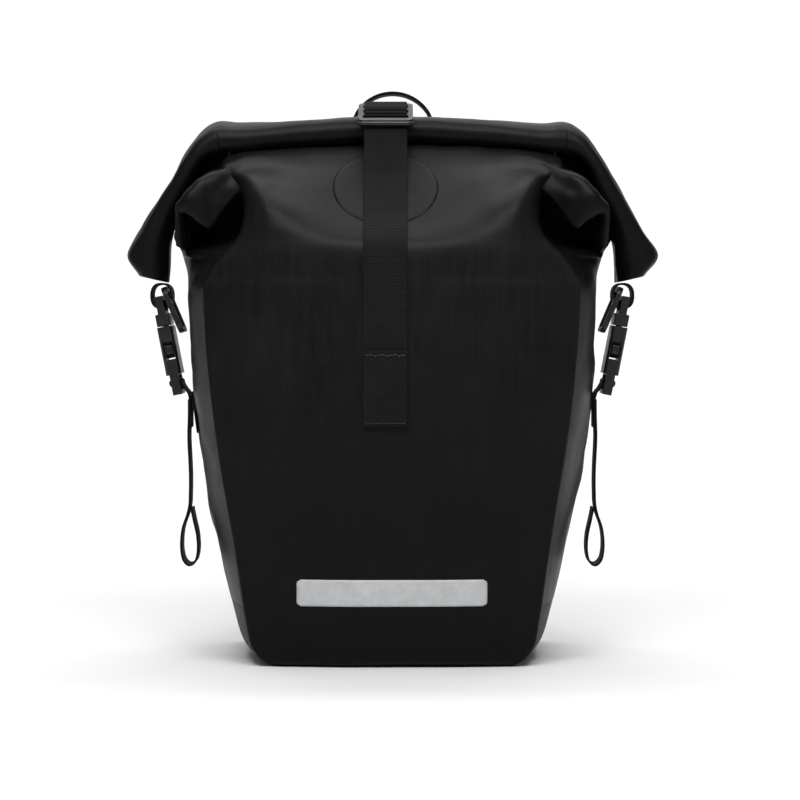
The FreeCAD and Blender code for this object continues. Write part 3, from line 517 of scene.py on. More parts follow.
def sweep(name, rings, finish, body="bag", stands_for=(), joined=False, caps=True):
    """A skin over rings of points, closed at its ends or joined into a loop."""
    count = len(rings[0])
    points = [point * MM for ring in rings for point in ring]
    points += [ring[0] * MM for ring in rings]
    flat = []
    rise = 0.0
    edge = []
    for i, ring in enumerate(rings):
        if i:
            rise += (sum(ring, Vector()) - sum(rings[i - 1], Vector())).length / count
        reach = 0.0
        for j in range(count):
            if j:
                reach += (ring[j] - ring[j - 1]).length
            flat.append((reach * MM, rise * MM))
        edge.append(((reach + (ring[0] - ring[-1]).length) * MM, rise * MM))
    faces = []
    total = len(rings)
    for i in range(total if joined else total - 1):
        after = (i + 1) % total
        for j in range(count):
            beside = (j + 1) % count
            faces.append((i * count + j, i * count + beside, after * count + beside, after * count + j))
    if caps and not joined:
        faces.append(tuple(range(count))[::-1])
        faces.append(tuple((total - 1) * count + j for j in range(count)))
    mesh = bpy.data.meshes.new(name)
    mesh.from_pydata(points[:total * count], [], faces)
    layer = mesh.uv_layers.new(name="cloth")
    for face in mesh.polygons:
        whole = [mesh.loops[k].vertex_index for k in face.loop_indices]
        turns = {vertex % count for vertex in whole}
        wrapped = len(whole) == 4 and 0 in turns and count - 1 in turns
        for k, vertex in zip(face.loop_indices, whole):
            if wrapped and vertex % count == 0:
                layer.data[k].uv = edge[vertex // count]
            else:
                layer.data[k].uv = flat[vertex]
    return finished(name, mesh, finish, body, stands_for)


def run_at(line, i):
    """The direction of a line at one of its points."""
    return line[min(i + 1, len(line) - 1)] - line[max(i - 1, 0)]


def strap_ring(centre, wide_way, thin_way, wide, thick):
    """One slice of flat webbing with soft selvedges."""
    half, thin = wide / 2, thick / 2
    outline = [
        (-half, 0.0), (-half + 0.3, -thin * 0.8), (-half + 1.2, -thin), (-half / 2, -thin), (0.0, -thin),
        (half / 2, -thin), (half - 1.2, -thin), (half - 0.3, -thin * 0.8), (half, 0.0),
        (half - 0.3, thin * 0.8), (half - 1.2, thin), (half / 2, thin), (0.0, thin),
        (-half / 2, thin), (-half + 1.2, thin), (-half + 0.3, thin * 0.8),
    ]
    return [centre + wide_way * a + thin_way * b for a, b in outline]


def webbing(name, line, side, wide, thick, finish=None, body="bag", stands_for=(), joined=False):
    """Flat webbing along a line of points, its width along the side direction."""
    rings = []
    count = len(line)
    for i, point in enumerate(line):
        if joined:
            run = line[(i + 1) % count] - line[i - 1]
        else:
            run = run_at(line, i)
        rings.append(strap_ring(point, side, run.cross(side).normalized(), wide, thick))
    sweep(name, rings, finish or STRAP_WEBBING, body, stands_for, joined)


def stitched(name, marks, length, thick):
    """Raised thread stitches across the strap, one at each mark and its normal."""
    points, faces, flat = [], [], []
    shape = ((-0.5, 0.35, -0.3), (-0.42, 0.8, 0.35), (0.0, 1.0, 0.7), (0.42, 0.8, 0.35), (0.5, 0.35, -0.3))
    for spot, lift in marks:
        across = RIGHT.cross(lift).normalized()
        start = len(points)
        for along, swell, rise in shape:
            for k in range(6):
                turn = math.pi * k / 3
                centre = spot + RIGHT * (along * length) + lift * (rise * thick)
                ring = across * math.cos(turn) + lift * math.sin(turn)
                points.append((centre + ring * (thick * swell)) * MM)
                flat.append((turn * thick * MM, (along + 0.5) * length * MM))
        for i in range(len(shape) - 1):
            for k in range(6):
                a = start + i * 6 + k
                b = start + i * 6 + (k + 1) % 6
                faces.append((a, b, b + 6, a + 6))
        faces.append(tuple(start + k for k in range(6))[::-1])
        faces.append(tuple(start + 6 * (len(shape) - 1) + k for k in range(6)))
    mesh = bpy.data.meshes.new(name)
    mesh.from_pydata(points, [], faces)
    mapped(mesh, flat)
    finished(name, mesh, THREAD, "bag", ())


def moulded(node, name, finish, body, round_off=0.5):
    """A moulded or machined part on its model's own faces, with rounded edges."""
    mesh = frame["nodes"][node].data.copy()
    mesh.name = name
    mesh.materials.clear()
    shape = bmesh.new()
    shape.from_mesh(mesh)
    bmesh.ops.remove_doubles(shape, verts=shape.verts, dist=1e-6)
    bmesh.ops.dissolve_limit(shape, angle_limit=math.radians(1), verts=shape.verts, edges=shape.edges)
    shape.to_mesh(mesh)
    shape.free()
    piece = finished(name, mesh, finish, body, (node,))
    bevel = piece.modifiers.new("rounding", "BEVEL")
    bevel.width = round_off * MM
    bevel.segments = 2
    bevel.limit_method = "ANGLE"
    bevel.angle_limit = math.radians(28)
    even = piece.modifiers.new("even_shading", "WEIGHTED_NORMAL")
    even.keep_sharp = True


# ---------------------------------------------------------------- front panel

PILLAR_SHARES = (0.0, 0.3, 0.55, 0.75, 0.88, 0.95, 1.0)


def lower_row(z, tuck=0.0):
    """Half a row of the front panel below the shoulder folds."""
    half = front_half(z)
    row = []
    for share in PILLAR_SHARES:
        y = SEAM_Y - front_swell(z) * (1 - share ** 2.6) + tuck * (1 - 0.5 * share)
        row.append((half * share, y, z))
    row.append((half + 0.6, SEAM_Y + 3.5, z))
    return row


FRONT_ROWS = [lower_row(z, tuck) for z, tuck in ((0.7, 7.0), (2.6, 2.2), (7, 0.3))]
FRONT_ROWS += [lower_row(z) for z in (16, 30, 47, 80, 120, 160, 200, 240, 268, 284)]
# Half rows from the folds to the mouth: across, deep, high.
RAISED_ROWS = [
    ((0, 41, 75, 102, 119, 127, 134, 137), (-88.8, -87.6, -84.8, -80.6, -76.6, -74, -70, -64),
     (294,) * 8),
    ((0, 40, 73, 97, 110, 118, 127, 131), (-88.6, -87.6, -85, -81.4, -77.6, -73.6, -65, -55),
     (308, 308, 308, 308, 308, 308, 307, 306)),
    ((0, 39, 69, 90, 101, 108, 115, 120), (-85.6, -85.4, -84, -81, -77.6, -72.6, -62, -48),
     (318, 318.4, 319, 320, 321, 321, 320, 318)),
    ((0, 38, 66, 85, 96, 103, 109, 114), (-78.6, -79.2, -80.6, -80, -77.2, -72, -60, -42),
     (325.6, 326.4, 328.4, 331, 332.6, 332, 330, 327)),
    ((0, 37, 64, 82, 94, 101, 107, 112), (-67.5, -68.6, -71.6, -74.4, -74.4, -69, -56, -36),
     (335.6, 336.6, 339.4, 343, 344.6, 344, 341.6, 338)),
    ((0, 37, 63, 82, 96, 104, 109, 113), (-54.4, -55.2, -57.6, -61, -63.4, -59.5, -48, -28),
     (349, 350, 352, 355, 357, 356.4, 354, 350)),
    ((0, 37, 63, 84, 100, 110, 115, 118), (-40.6, -41, -42.4, -44.6, -47, -44, -35, -19),
     (363.4, 364, 365.4, 367, 368, 367.4, 365, 361)),
    ((0, 37, 66, 89, 107, 117, 124, 128), (-26, -26, -26.4, -27.6, -29.4, -30, -26, -13),
     (378, 378.2, 378.4, 378, 376, 373.6, 371, 367.6)),
    ((0, 37, 68, 96, 111, 121, 129, 133), (-11, -11, -11.4, -12.6, -15.6, -19, -23, -15),
     (392.6, 392.2, 391.4, 389.6, 386, 381.4, 376.6, 373.6)),
    ((0, 37, 68, 96, 111, 121, 129, 132), (6, 6, 6, 6, 5, 3, 1, 3),
     (396, 395.8, 395.2, 394.4, 393.4, 391.4, 388, 385)),
]
FRONT_ROWS += [list(zip(*row)) for row in RAISED_ROWS]


def whole_row(half):
    left = [Vector((-x, y, z)) for x, y, z in half[:0:-1]]
    return left + [Vector(point) for point in half]


def roof_share(point):
    """How far a point is up the sloping roof, and away from the strap."""
    return 0.25 + 0.75 * ease(point.z, 300, 345) * ease(abs(point.x - STRAP_X), 20, 60)


front_grid = quilt([whole_row(half) for half in FRONT_ROWS], 7, 5)
front_grid = creased(front_grid, 1.5, (26, 40, 42), 3.7, roof_share)
front_grid = creased(front_grid, 1.3, (70, 70, 90), 9.1)
lay_cloth("front_cloth", front_grid, FRONT_TARPAULIN, stands_for=["front_panel"])

front_points = [point for row in front_grid for point in row]
front_skin = BVHTree.FromPolygons(front_points, grid_faces(front_grid))


def on_front(x, z, lift=0.0):
    """The point of the front panel behind (x, z), lifted off the cloth."""
    spot, normal, _, _ = front_skin.ray_cast(Vector((x, -260, z)), DEEP)
    if normal.y > 0:
        normal = -normal
    return spot + normal * lift, normal


def weld(name, line, wide, finish):
    """A low rounded bead where two panels are welded together."""
    rings = []
    for i, point in enumerate(line):
        run = run_at(line, i).normalized()
        first = run.cross(DEEP).normalized()
        second = run.cross(first).normalized()
        rings.append([point + first * (a * wide) + second * (b * wide) for a, b in circle(8)])
    sweep(name, rings, finish)


for name, column in (("left", 0), ("right", -1)):
    seam = [row[column] for row in front_grid if 3 < row[column].z < 340]
    weld(name + "_front_weld", seam, 0.7, WELD_FILM)

# ---------------------------------------------------------------- gussets and their folded tops


def gusset_row(front_xy, middle_x, back_xy, z):
    """One row of a gusset from its front seam to its back seam."""
    row = []
    for k in range(11):
        share = k / 10
        straight = mix(front_xy[0], back_xy[0], share)
        swell = (middle_x - (front_xy[0] + back_xy[0]) / 2) * 4 * share * (1 - share)
        row.append((straight + swell, mix(front_xy[1], back_xy[1], share), z))
    return row


def dimpled_row(across, front_y, back_y, z):
    """One row above the shoulder, where the front of the gusset is pushed in."""
    last = len(across) - 1
    return [(x, mix(front_y, back_y, k / last), z) for k, x in enumerate(across)]


# Above the shoulder: across, front and back depth, height.
DIMPLED_ROWS = [
    ((122, 137, 149, 157, 161.5, 163, 164, 163, 160, 155.5, 151), -52, BACK_Y - 2.2, 311),
    ((118, 126, 136, 147, 157, 163, 166, 165, 160, 155, 150.5), -49, BACK_Y - 2.4, 315),
    ((115, 118, 122, 131, 149, 163, 169, 168, 161, 153.5, 149), -44, BACK_Y - 2.8, 319),
    ((113, 114, 116, 123, 147, 166, 172.6, 171, 162, 152.5, 147), -38, BACK_Y - 3.4, 325.5),
    ((112, 112, 114, 123, 149, 165, 170, 168.6, 160, 150, 144), -32, BACK_Y - 4, 335.5),
    ((112, 113, 115, 127, 152, 162, 165.4, 163, 155, 146, 139), -24, 71, 348),
    ((117, 118, 121, 133, 149, 155, 156.6, 153, 145, 138, 131.5), -15, 57, 365),
    ((125, 126, 129, 137, 146, 151.4, 153, 150, 139, 129, 123), -9, 46, 381),
    ((125, 127, 130, 134, 139, 143.6, 145, 141, 132, 125, 121), -7, 42, 394),
]


def gusset_rows():
    rows = []
    for z in (45, 62, 85, 115, 150, 185, 220, 255, 280):
        rows.append(gusset_row(
            (front_half(z) - 0.3, SEAM_Y + 1.6), wall_half(z), (back_half(z) - 0.3, BACK_Y - 2.2), z))
    rows.append(gusset_row((134, -66), 160.5, (149.5, BACK_Y - 2.2), 295))
    rows.append(gusset_row((127, -57), 161.5, (150.5, BACK_Y - 2.2), 306))
    return rows + [dimpled_row(*row) for row in DIMPLED_ROWS]


def gusset_softness(point):
    """Creases fade out at the seams and where the boot holds the cloth flat."""
    seam = ease(point.y, SEAM_Y + 2, SEAM_Y + 30) * ease(-point.y, -BACK_Y + 2, -BACK_Y + 26)
    return seam * ease(point.z, 50, 100) * (1 - 0.85 * beside_ring(point))


def beside_ring(point):
    """How near a point of a gusset is to its D-ring."""
    return (1 - ease(abs(point.y - ROLL_Y), 20, 38)) * (1 - ease(abs(point.z - 267), 24, 44))


for name, side in SIDES:
    rows = [[Vector((side * x, y, z)) for x, y, z in row] for row in gusset_rows()]
    grid = quilt(rows, 4, 5)
    grid = creased(grid, 2.0, (60, 48, 38), 1.3 + side, gusset_softness)
    grid = creased(grid, 0.9, (22, 24, 18), 5.2 + side, gusset_softness)
    for row in grid:
        for point in row:
            point.x -= side * 1.8 * beside_ring(point)
    lay_cloth(name + "_gusset_cloth", grid, SIDE_TARPAULIN, stands_for=[name + "_gusset"])


def flap_softness(point):
    """The hanging tuck is more creased than the lip above it."""
    return 0.25 + 0.75 * ease(-point.y, 24, 34)


# The folded shoulder: from a hanging tuck over the lip and back under the tail.
FOLD_STATIONS = [
    ((106, -27, 374), (112, -23, 379), (117, -20, 381.5), (117, -6, 384), (117, 12, 385)),
    ((111, -29, 365), (118, -26, 373), (124.5, -24.5, 376.6), (125, -8, 380), (123, 14, 382)),
    ((115, -30, 358.5), (124, -29.5, 366), (132.3, -29, 372.9), (132, -10, 377), (129, 14, 378.5)),
    ((120.8, -31, 353.7), (131, -33, 361), (139, -32.5, 371), (139, -14, 374), (135, 12, 375)),
    ((129.5, -33.5, 342.5), (139.5, -37, 352.5), (147, -36, 366), (147, -18, 368), (142, 8, 369.5)),
    ((138.7, -36, 330), (146.5, -39, 343.5), (154, -38, 358.5), (153.5, -20, 361), (149, 6, 362)),
    ((148.5, -35, 336), (154.5, -38.5, 342), (160.2, -38, 351.5), (160, -20, 353), (155, 4, 354)),
    ((158.2, -31, 341), (161, -35, 341.5), (164.6, -36, 346), (163.8, -20, 347), (159, 2, 348)),
    ((158.4, -26, 328), (161.6, -31, 328.5), (165.4, -31, 330), (164.4, -18, 330), (160, 2, 330)),
    ((157.6, -22, 316), (161.6, -26, 315.5), (165, -25, 317), (164.4, -14, 317), (160, 4, 317.5)),
]

for name, side in SIDES:
    rows = [[Vector((side * x, y, z)) for x, y, z in station] for station in FOLD_STATIONS]
    grid = quilt(rows, 6, 6)
    grid = creased(grid, 0.9, (9, 12, 12), 2.1 + side, flap_softness)
    lay_cloth(name + "_shoulder_fold", grid, SIDE_TARPAULIN, stands_for=[name + "_gusset_fold"])

# ---------------------------------------------------------------- base and back


def boot_row(share):
    """One U-shaped slice of the base panel, from the front (0) to the back (1)."""
    y = mix(SEAM_Y + 1.8, BACK_Y - 2.4, share)
    right = [(side_half(z, share) - 0.2, z) for z in (46, 33, 22, 13, 6.5, 2.4)]
    foot = side_half(0.7, share)
    half = right + [(foot - 2, 0.75), (foot * 0.7, 0.7), (foot * 0.35, 0.7)]
    row = [Vector((-x, y, z)) for x, z in half] + [Vector((0, y, 0.7))]
    return row + [Vector((x, y, z)) for x, z in half[::-1]]


boot_rows = [boot_row(k / 8) for k in range(9)]
lay_cloth("base_boot", quilt(boot_rows, 4, 5), BOOT_TARPAULIN, stands_for=["bottom_panel"])

back_rows = []
for z in (0.8, 4, 10, 24, 47, 90, 150, 210, 270, 310, 330, 345, 356, 368, 381, 394):
    half = back_half(z)
    if z > SHOULDER:
        half = mix(half, 117, (z - SHOULDER) / (MOUTH - SHOULDER))
    deep = back_line(z) - 0.7
    row = []
    for share in (-1, -0.94, -0.8, -0.6, -0.35, 0, 0.35, 0.6, 0.8, 0.94, 1):
        rounding = 2.6 * max(0.0, (abs(share) - 0.9) / 0.1) ** 2
        row.append(Vector((half * share, deep - rounding, z)))
    back_rows.append(row)


def back_softness(point):
    """Creases only where no plate lies behind the cloth."""
    return ease(point.z, 330, 360) + 0.12


back_grid = creased(quilt(back_rows, 5, 4), 2.4, (38, 40, 24), 7.0, back_softness)
lay_cloth("back_cloth", back_grid, SIDE_TARPAULIN, 1.1, stands_for=["back_panel"])

# ---------------------------------------------------------------- rolled top and folded ends


# Half of the roll and its folded end: (outer face, inner face, half depth, lean).
ROLL_STATIONS = [
    ((0, 418.8), (0, 394.0), 27.4, 0),
    ((26, 418.4), (26, 393.8), 27.4, 0),
    ((52, 417.2), (52, 393.0), 27.4, 2),
    ((78, 415.8), (78, 392.0), 27.5, 4),
    ((100, 414.4), (100, 390.8), 27.6, 7),
    ((120, 413.6), (119, 389.4), 27.8, 9),
    ((136.6, 414.0), (132, 387.8), 28.2, 9),
    ((150.4, 405.0), (143.4, 385.4), 28.6, 7),
    ((161.8, 388.2), (150.4, 378.0), 28.8, 4),
    ((173.4, 368.4), (157.2, 361.0), 28.9, 2),
    ((184.2, 349.6), (166.0, 343.0), 29.0, 0),
    ((195.0, 330.2), (172.2, 323.0), 29.0, 0),
    ((206.0, 310.4), (174.0, 302.0), 29.0, 0),
    ((196.6, 294.6), (175.2, 289.6), 28.7, 0),
]
TAIL_START = 6
ROLL_STEPS = 7
RING_POINTS = 48


def roll_slice(side, outer, inner, half_deep, lean, place):
    """A slice through the roll, whose last turn of cloth ends in a small step."""
    centre = Vector((side * (outer.x + inner.x) / 2, ROLL_Y + 0.1, (outer.y + inner.y) / 2))
    thin = Vector((side * (outer.x - inner.x), 0, outer.y - inner.y))
    half_thick = thin.length / 2
    thin.normalize()
    turned = Matrix.Rotation(side * math.radians(lean), 3, DEEP.cross(thin) * side)
    deep, thin = turned @ DEEP, turned @ thin
    fold = ease(place, 5, 9)
    ring = []
    for k in range(RING_POINTS):
        angle = 2 * math.pi * k / RING_POINTS
        across, up = math.cos(angle), math.sin(angle)
        a = squared(across, mix(0.75, 0.6, fold))
        b = squared(up, mix(0.8, 0.7, fold))
        winding = ((angle - math.radians(140)) % (2 * math.pi)) / (2 * math.pi)
        shrink = 1.1 * (1 - winding) * ease(winding, 0.0, 0.06)
        spot = centre + deep * (a * (half_deep - shrink)) + thin * (b * (half_thick - shrink * 0.8))
        ripple = noise.noise(Vector((spot.x / 30, spot.y / 20, spot.z / 36)))
        groove = noise.noise(Vector((spot.x / 11, spot.y / 8, spot.z / 50 + 3)))
        away = (deep * across + thin * up).normalized()
        ring.append(spot + away * (ripple * mix(0.7, 2.2, fold) + groove * mix(0.25, 0.8, fold)))
    return ring


def roll_run(side):
    """Slices from the middle of the roll to the end of one tail."""
    outers = [Vector((*outer, 0)) for outer, _, _, _ in ROLL_STATIONS]
    inners = [Vector((*inner, 0)) for _, inner, _, _ in ROLL_STATIONS]
    extras = [Vector((deep, lean, 0)) for _, _, deep, lean in ROLL_STATIONS]
    lines = zip(through(outers, ROLL_STEPS), through(inners, ROLL_STEPS), through(extras, ROLL_STEPS))
    return [roll_slice(side, outer, inner, extra.x, extra.y, n / ROLL_STEPS)
            for n, (outer, inner, extra) in enumerate(lines)]


def tucked_end(rings):
    """The turned-in layers at the open end of a tail."""
    last = rings[-1]
    middle = sum(last, Vector()) / len(last)
    inwards = (sum(rings[-8], Vector()) / len(last) - middle).normalized()
    steps = ((0.975, -0.5), (0.93, -0.4), (0.9, 1.4), (0.86, 2.6), (0.8, 1.2), (0.75, 1.0), (0.71, 2.8),
             (0.66, 3.6), (0.6, 2.4), (0.55, 2.4), (0.5, 4.6), (0.42, 6.0), (0.15, 6.5))
    return [[middle + (point - middle) * shrink + inwards * sink for point in last]
            for shrink, sink in steps]


def stiffener_slice(ring):
    """A flat slice of the strip that lies in the middle of the roll."""
    middle = sum(ring, Vector()) / len(ring)
    deep = (ring[0] - ring[RING_POINTS // 2]).normalized()
    thin = (ring[RING_POINTS // 4] - ring[3 * RING_POINTS // 4]).normalized()
    return [middle + deep * a + thin * b for a, b in ((-20, -0.8), (20, -0.8), (20, 0.8), (-20, 0.8))]


runs = {name: roll_run(side) for name, side in SIDES}
cut = TAIL_START * ROLL_STEPS
middle_rings = runs["left"][cut::-1] + runs["right"][1:cut + 1]
strip_rings = [stiffener_slice(ring) for ring in middle_rings[4:-4]]
sweep("roll_stiffening_strip", strip_rings, INNER_PLASTIC,
      stands_for=["roll_stiffener"])
sweep("rolled_top", middle_rings, ROLL_TARPAULIN,
      stands_for=["roll_closure"], caps=False)
for name, side in SIDES:
    rings = runs[name][cut:]
    sweep(name + "_tail_cloth", rings + tucked_end(rings), ROLL_TARPAULIN,
          stands_for=[name + "_tail"])

# ---------------------------------------------------------------- patch, centre strap and reflective strip

patch_low = lowest("strap_patch")
patch_high = highest("strap_patch")
patch_z = (patch_low.z + patch_high.z) / 2
PATCH_RADIUS = (patch_high.x - patch_low.x) / 2
patch_centre, patch_normal = on_front(STRAP_X, patch_z)
patch_up = RIGHT.cross(patch_normal).normalized()
if patch_up.z < 0:
    patch_up = -patch_up

patch_grid = []
for n in range(33):
    v = n / 16 - 1
    row = []
    for k in range(33):
        u = k / 16 - 1
        across = u * math.sqrt(1 - v * v / 2) * PATCH_RADIUS
        up = v * math.sqrt(1 - u * u / 2) * PATCH_RADIUS
        flat = patch_centre + RIGHT * across + patch_up * up
        spot, _, _, _ = front_skin.ray_cast(flat + patch_normal * 60, -patch_normal)
        rim = ease(math.hypot(across, up), PATCH_RADIUS - 3, PATCH_RADIUS)
        row.append(spot + patch_normal * (0.9 - 0.45 * rim))
    patch_grid.append(row)
lay_cloth("round_patch", patch_grid, PATCH_TARPAULIN, 0.7, stands_for=["strap_patch"])

lock_low, lock_high = lowest("ladder_lock"), highest("ladder_lock")
LOCK = Vector((STRAP_X, (lock_low.y + lock_high.y) / 2, (lock_low.z + lock_high.z) / 2))
LOCK_TILT = math.radians(30)


def on_lock(along, under=0.0):
    """A point along the ladder lock's length, or some way under it."""
    y = LOCK.y + along * math.cos(LOCK_TILT) + under * math.sin(LOCK_TILT)
    z = LOCK.z + along * math.sin(LOCK_TILT) - under * math.cos(LOCK_TILT)
    return Vector((STRAP_X, y, z))


def round_bar(along, reach, degrees):
    """Points on an arc round one of the lock's bars."""
    turns = [math.radians(angle) + LOCK_TILT for angle in degrees]
    return [on_lock(along) + Vector((0, math.cos(turn), math.sin(turn))) * reach for turn in turns]


STRAP_WIDE = STRAP_RIGHT - STRAP_LEFT
MIDDLE_BAR = -4.0
TOP_BAR = 13.0
WEB = 1.6


def strap_line(z, lift):
    spots = [on_front(x, z, lift)[0] for x in (STRAP_LEFT + 2, STRAP_X, STRAP_RIGHT - 2)]
    return Vector((STRAP_X, min(spot.y for spot in spots), sum(spot.z for spot in spots) / 3))


hanging = [strap_line(z, 1.8) for z in (STRAP_END + 0.4, 190, 205, 220, 233, 236, 250, 265, 280, 295, 308)]
hanging += [strap_line(z, 2.2) for z in (316, 323, 330, 338)]
hanging.append(strap_line(350, 3.6))
hanging += [Vector((STRAP_X, y, z)) for y, z in ((-47.0, 364), (-37.5, 377), (-30.0, 390), (-26.0, 400))]
hanging += [on_lock(-13.0, 4.3), on_lock(-9.0, 4.2), on_lock(-6.5, 3.9)]
hanging += round_bar(MIDDLE_BAR, 3.3, (-60, -20, 20, 60, 100))
webbing("centre_strap_webbing", through(hanging, 4), RIGHT, STRAP_WIDE, WEB, stands_for=["centre_strap"])

roll_back = highest("roll_closure").y
over_back = [Vector((STRAP_X, y, z)) for y, z in (
    (back_line(MOUTH - 10) + 2.2, MOUTH - 9.5), (roll_back + 1.6, MOUTH - 1),
    (roll_back + 1.5, ROLL_TOP - 9), (roll_back - 2.0, ROLL_TOP - 1.2), (roll_back - 9.0, ROLL_TOP + 1.6))]
over_back += [on_lock(25.0, 9.0), on_lock(20.0, 6.6)]
over_back += round_bar(TOP_BAR, 3.3, (-50, -10, 30, 70))
webbing("buckle_webbing_band", through(over_back, 4), RIGHT, STRAP_WIDE, WEB, stands_for=["buckle_webbing"])

grip = round_bar(TOP_BAR, 3.5, (-60, -20, 20, 60, 88))
grip += [on_lock(9.0, -3.6), on_lock(5.6, -3.5), on_lock(3.2, -2.6), on_lock(2.3, -0.6), on_lock(2.0, 2.6)]
webbing("lock_webbing_turn", through(grip, 4), RIGHT, STRAP_WIDE, WEB, body="top_lock")

lip_rings = []
for share in (0, 0.03, 0.1, 0.5, 0.9, 0.97, 1):
    round_off = math.sqrt(max(0.0, 1 - (2 * abs(share - 0.5)) ** 8)) * 0.75 + 0.25
    middle = on_lock(-14.2, 0.8)
    middle.x = mix(lock_low.x - 0.6, lock_high.x + 0.6, share)
    lip_rings.append([middle + Vector((0, a * 3.0, b * 2.5)) * round_off for a, b in circle(20)])
sweep("ladder_lock_lip", lip_rings, BUCKLE_PLASTIC, "top_lock")

doubled = [strap_line(z, 3.5) for z in (STRAP_END + 0.6, 190, 205, 220, 233, 238)]
webbing("strap_end_fold", through(doubled, 4), RIGHT, STRAP_WIDE - 0.3, WEB)
for name, count, inset, z, wave, lift, length, thick in (
        ("strap_end_tack", 10, 3.2, 234.4, 0.5, 4.3, 2.5, 0.5),
        ("strap_end_stitches", 11, 2.6, STRAP_END + 3.2, 0.0, 4.25, 2.1, 0.32)):
    marks = []
    for n in range(count):
        across = STRAP_LEFT + inset + n * (STRAP_WIDE - 2 * inset) / (count - 1)
        marks.append(on_front(across, z + wave * math.sin(n * 2.1), lift))
    stitched(name, marks, length, thick)

label_low, label_high = lowest("reflective_strip"), highest("reflective_strip")
label_grid = []
for n in range(13):
    z = mix(label_low.z, label_high.z, n / 12)
    edge = abs(z - (label_low.z + label_high.z) / 2)
    corner = max(0.0, edge - 7.0)
    inset = 3.0 - math.sqrt(max(0.0, 9.0 - corner ** 2))
    row = []
    for k in range(61):
        x = mix(label_low.x + inset, label_high.x - inset, k / 60)
        row.append(on_front(x, z, 0.85)[0])
    label_grid.append(row)
lay_cloth("reflective_film_strip", label_grid, REFLECTOR, 0.3,
          stands_for=["reflective_strip"])

# ---------------------------------------------------------------- carrying handle

HOOK_X = (lowest("right_hook").x + highest("right_hook").x) / 2
EYE_Y, EYE_Z = 124.5, 344.0
CROWN = highest("handle_strap").z - 1.2
BEND = 34.5
HANDLE_Y = 105.0

half_way = [
    ((HOOK_X, EYE_Y, EYE_Z + 3.9), 0),
    ((HOOK_X, EYE_Y, EYE_Z + 17), 0),
    ((HOOK_X - 6, EYE_Y - 4, EYE_Z + 31), 25),
    ((HOOK_X - 18, EYE_Y - 10, EYE_Z + 45), 50),
    ((BEND + 13, HANDLE_Y + 4, CROWN - BEND - 6), 72),
    ((BEND + 4, HANDLE_Y + 1, CROWN - BEND + 3), 86),
]
for degrees in (18, 36, 54, 72):
    turn = math.radians(degrees)
    half_way.append(((BEND * math.cos(turn), HANDLE_Y, CROWN - BEND + BEND * math.sin(turn)), 90))
stations = [(Vector(spot), turn) for spot, turn in half_way]
stations.append((Vector((0, HANDLE_Y, CROWN)), 90))
stations += [(Vector((-spot.x, spot.y, spot.z)), 180 - turn) for spot, turn in stations[-2::-1]]
handle_line = through([spot for spot, _ in stations], 4)
handle_turns = [point.x for point in through([Vector((turn, 0, 0)) for _, turn in stations], 4)]
handle_rings = []
for i, point in enumerate(handle_line):
    run = run_at(handle_line, i).normalized()
    across = DEEP.cross(run).normalized()
    deep = run.cross(across).normalized()
    turn = math.radians(handle_turns[i])
    wide_way = across * math.cos(turn) + deep * math.sin(turn)
    thin_way = run.cross(wide_way).normalized()
    handle_rings.append(strap_ring(point, wide_way, thin_way, 22.0, 2.4))
sweep("carrying_handle", handle_rings, HANDLE_WEBBING, "handle", ["handle_strap"])
for name, side in SIDES:
    ring = [Vector((side * HOOK_X, EYE_Y + 4.0 * a, EYE_Z + 4.0 * b)) for a, b in circle(24)]
    webbing(name + "_handle_eye", ring, RIGHT, 22.0, 1.4, HANDLE_WEBBING, "handle", joined=True)

# ---------------------------------------------------------------- side straps and loops

BUCKLE_LEAN = math.radians(11)
BUCKLE_OUT = 175.0
BUCKLE_MID = 243.0
BUCKLE_BAR = -32.75
ANCHOR_TOP = 204.0
HANG_OUT = 158.74
SIDE_WEB = 25.0

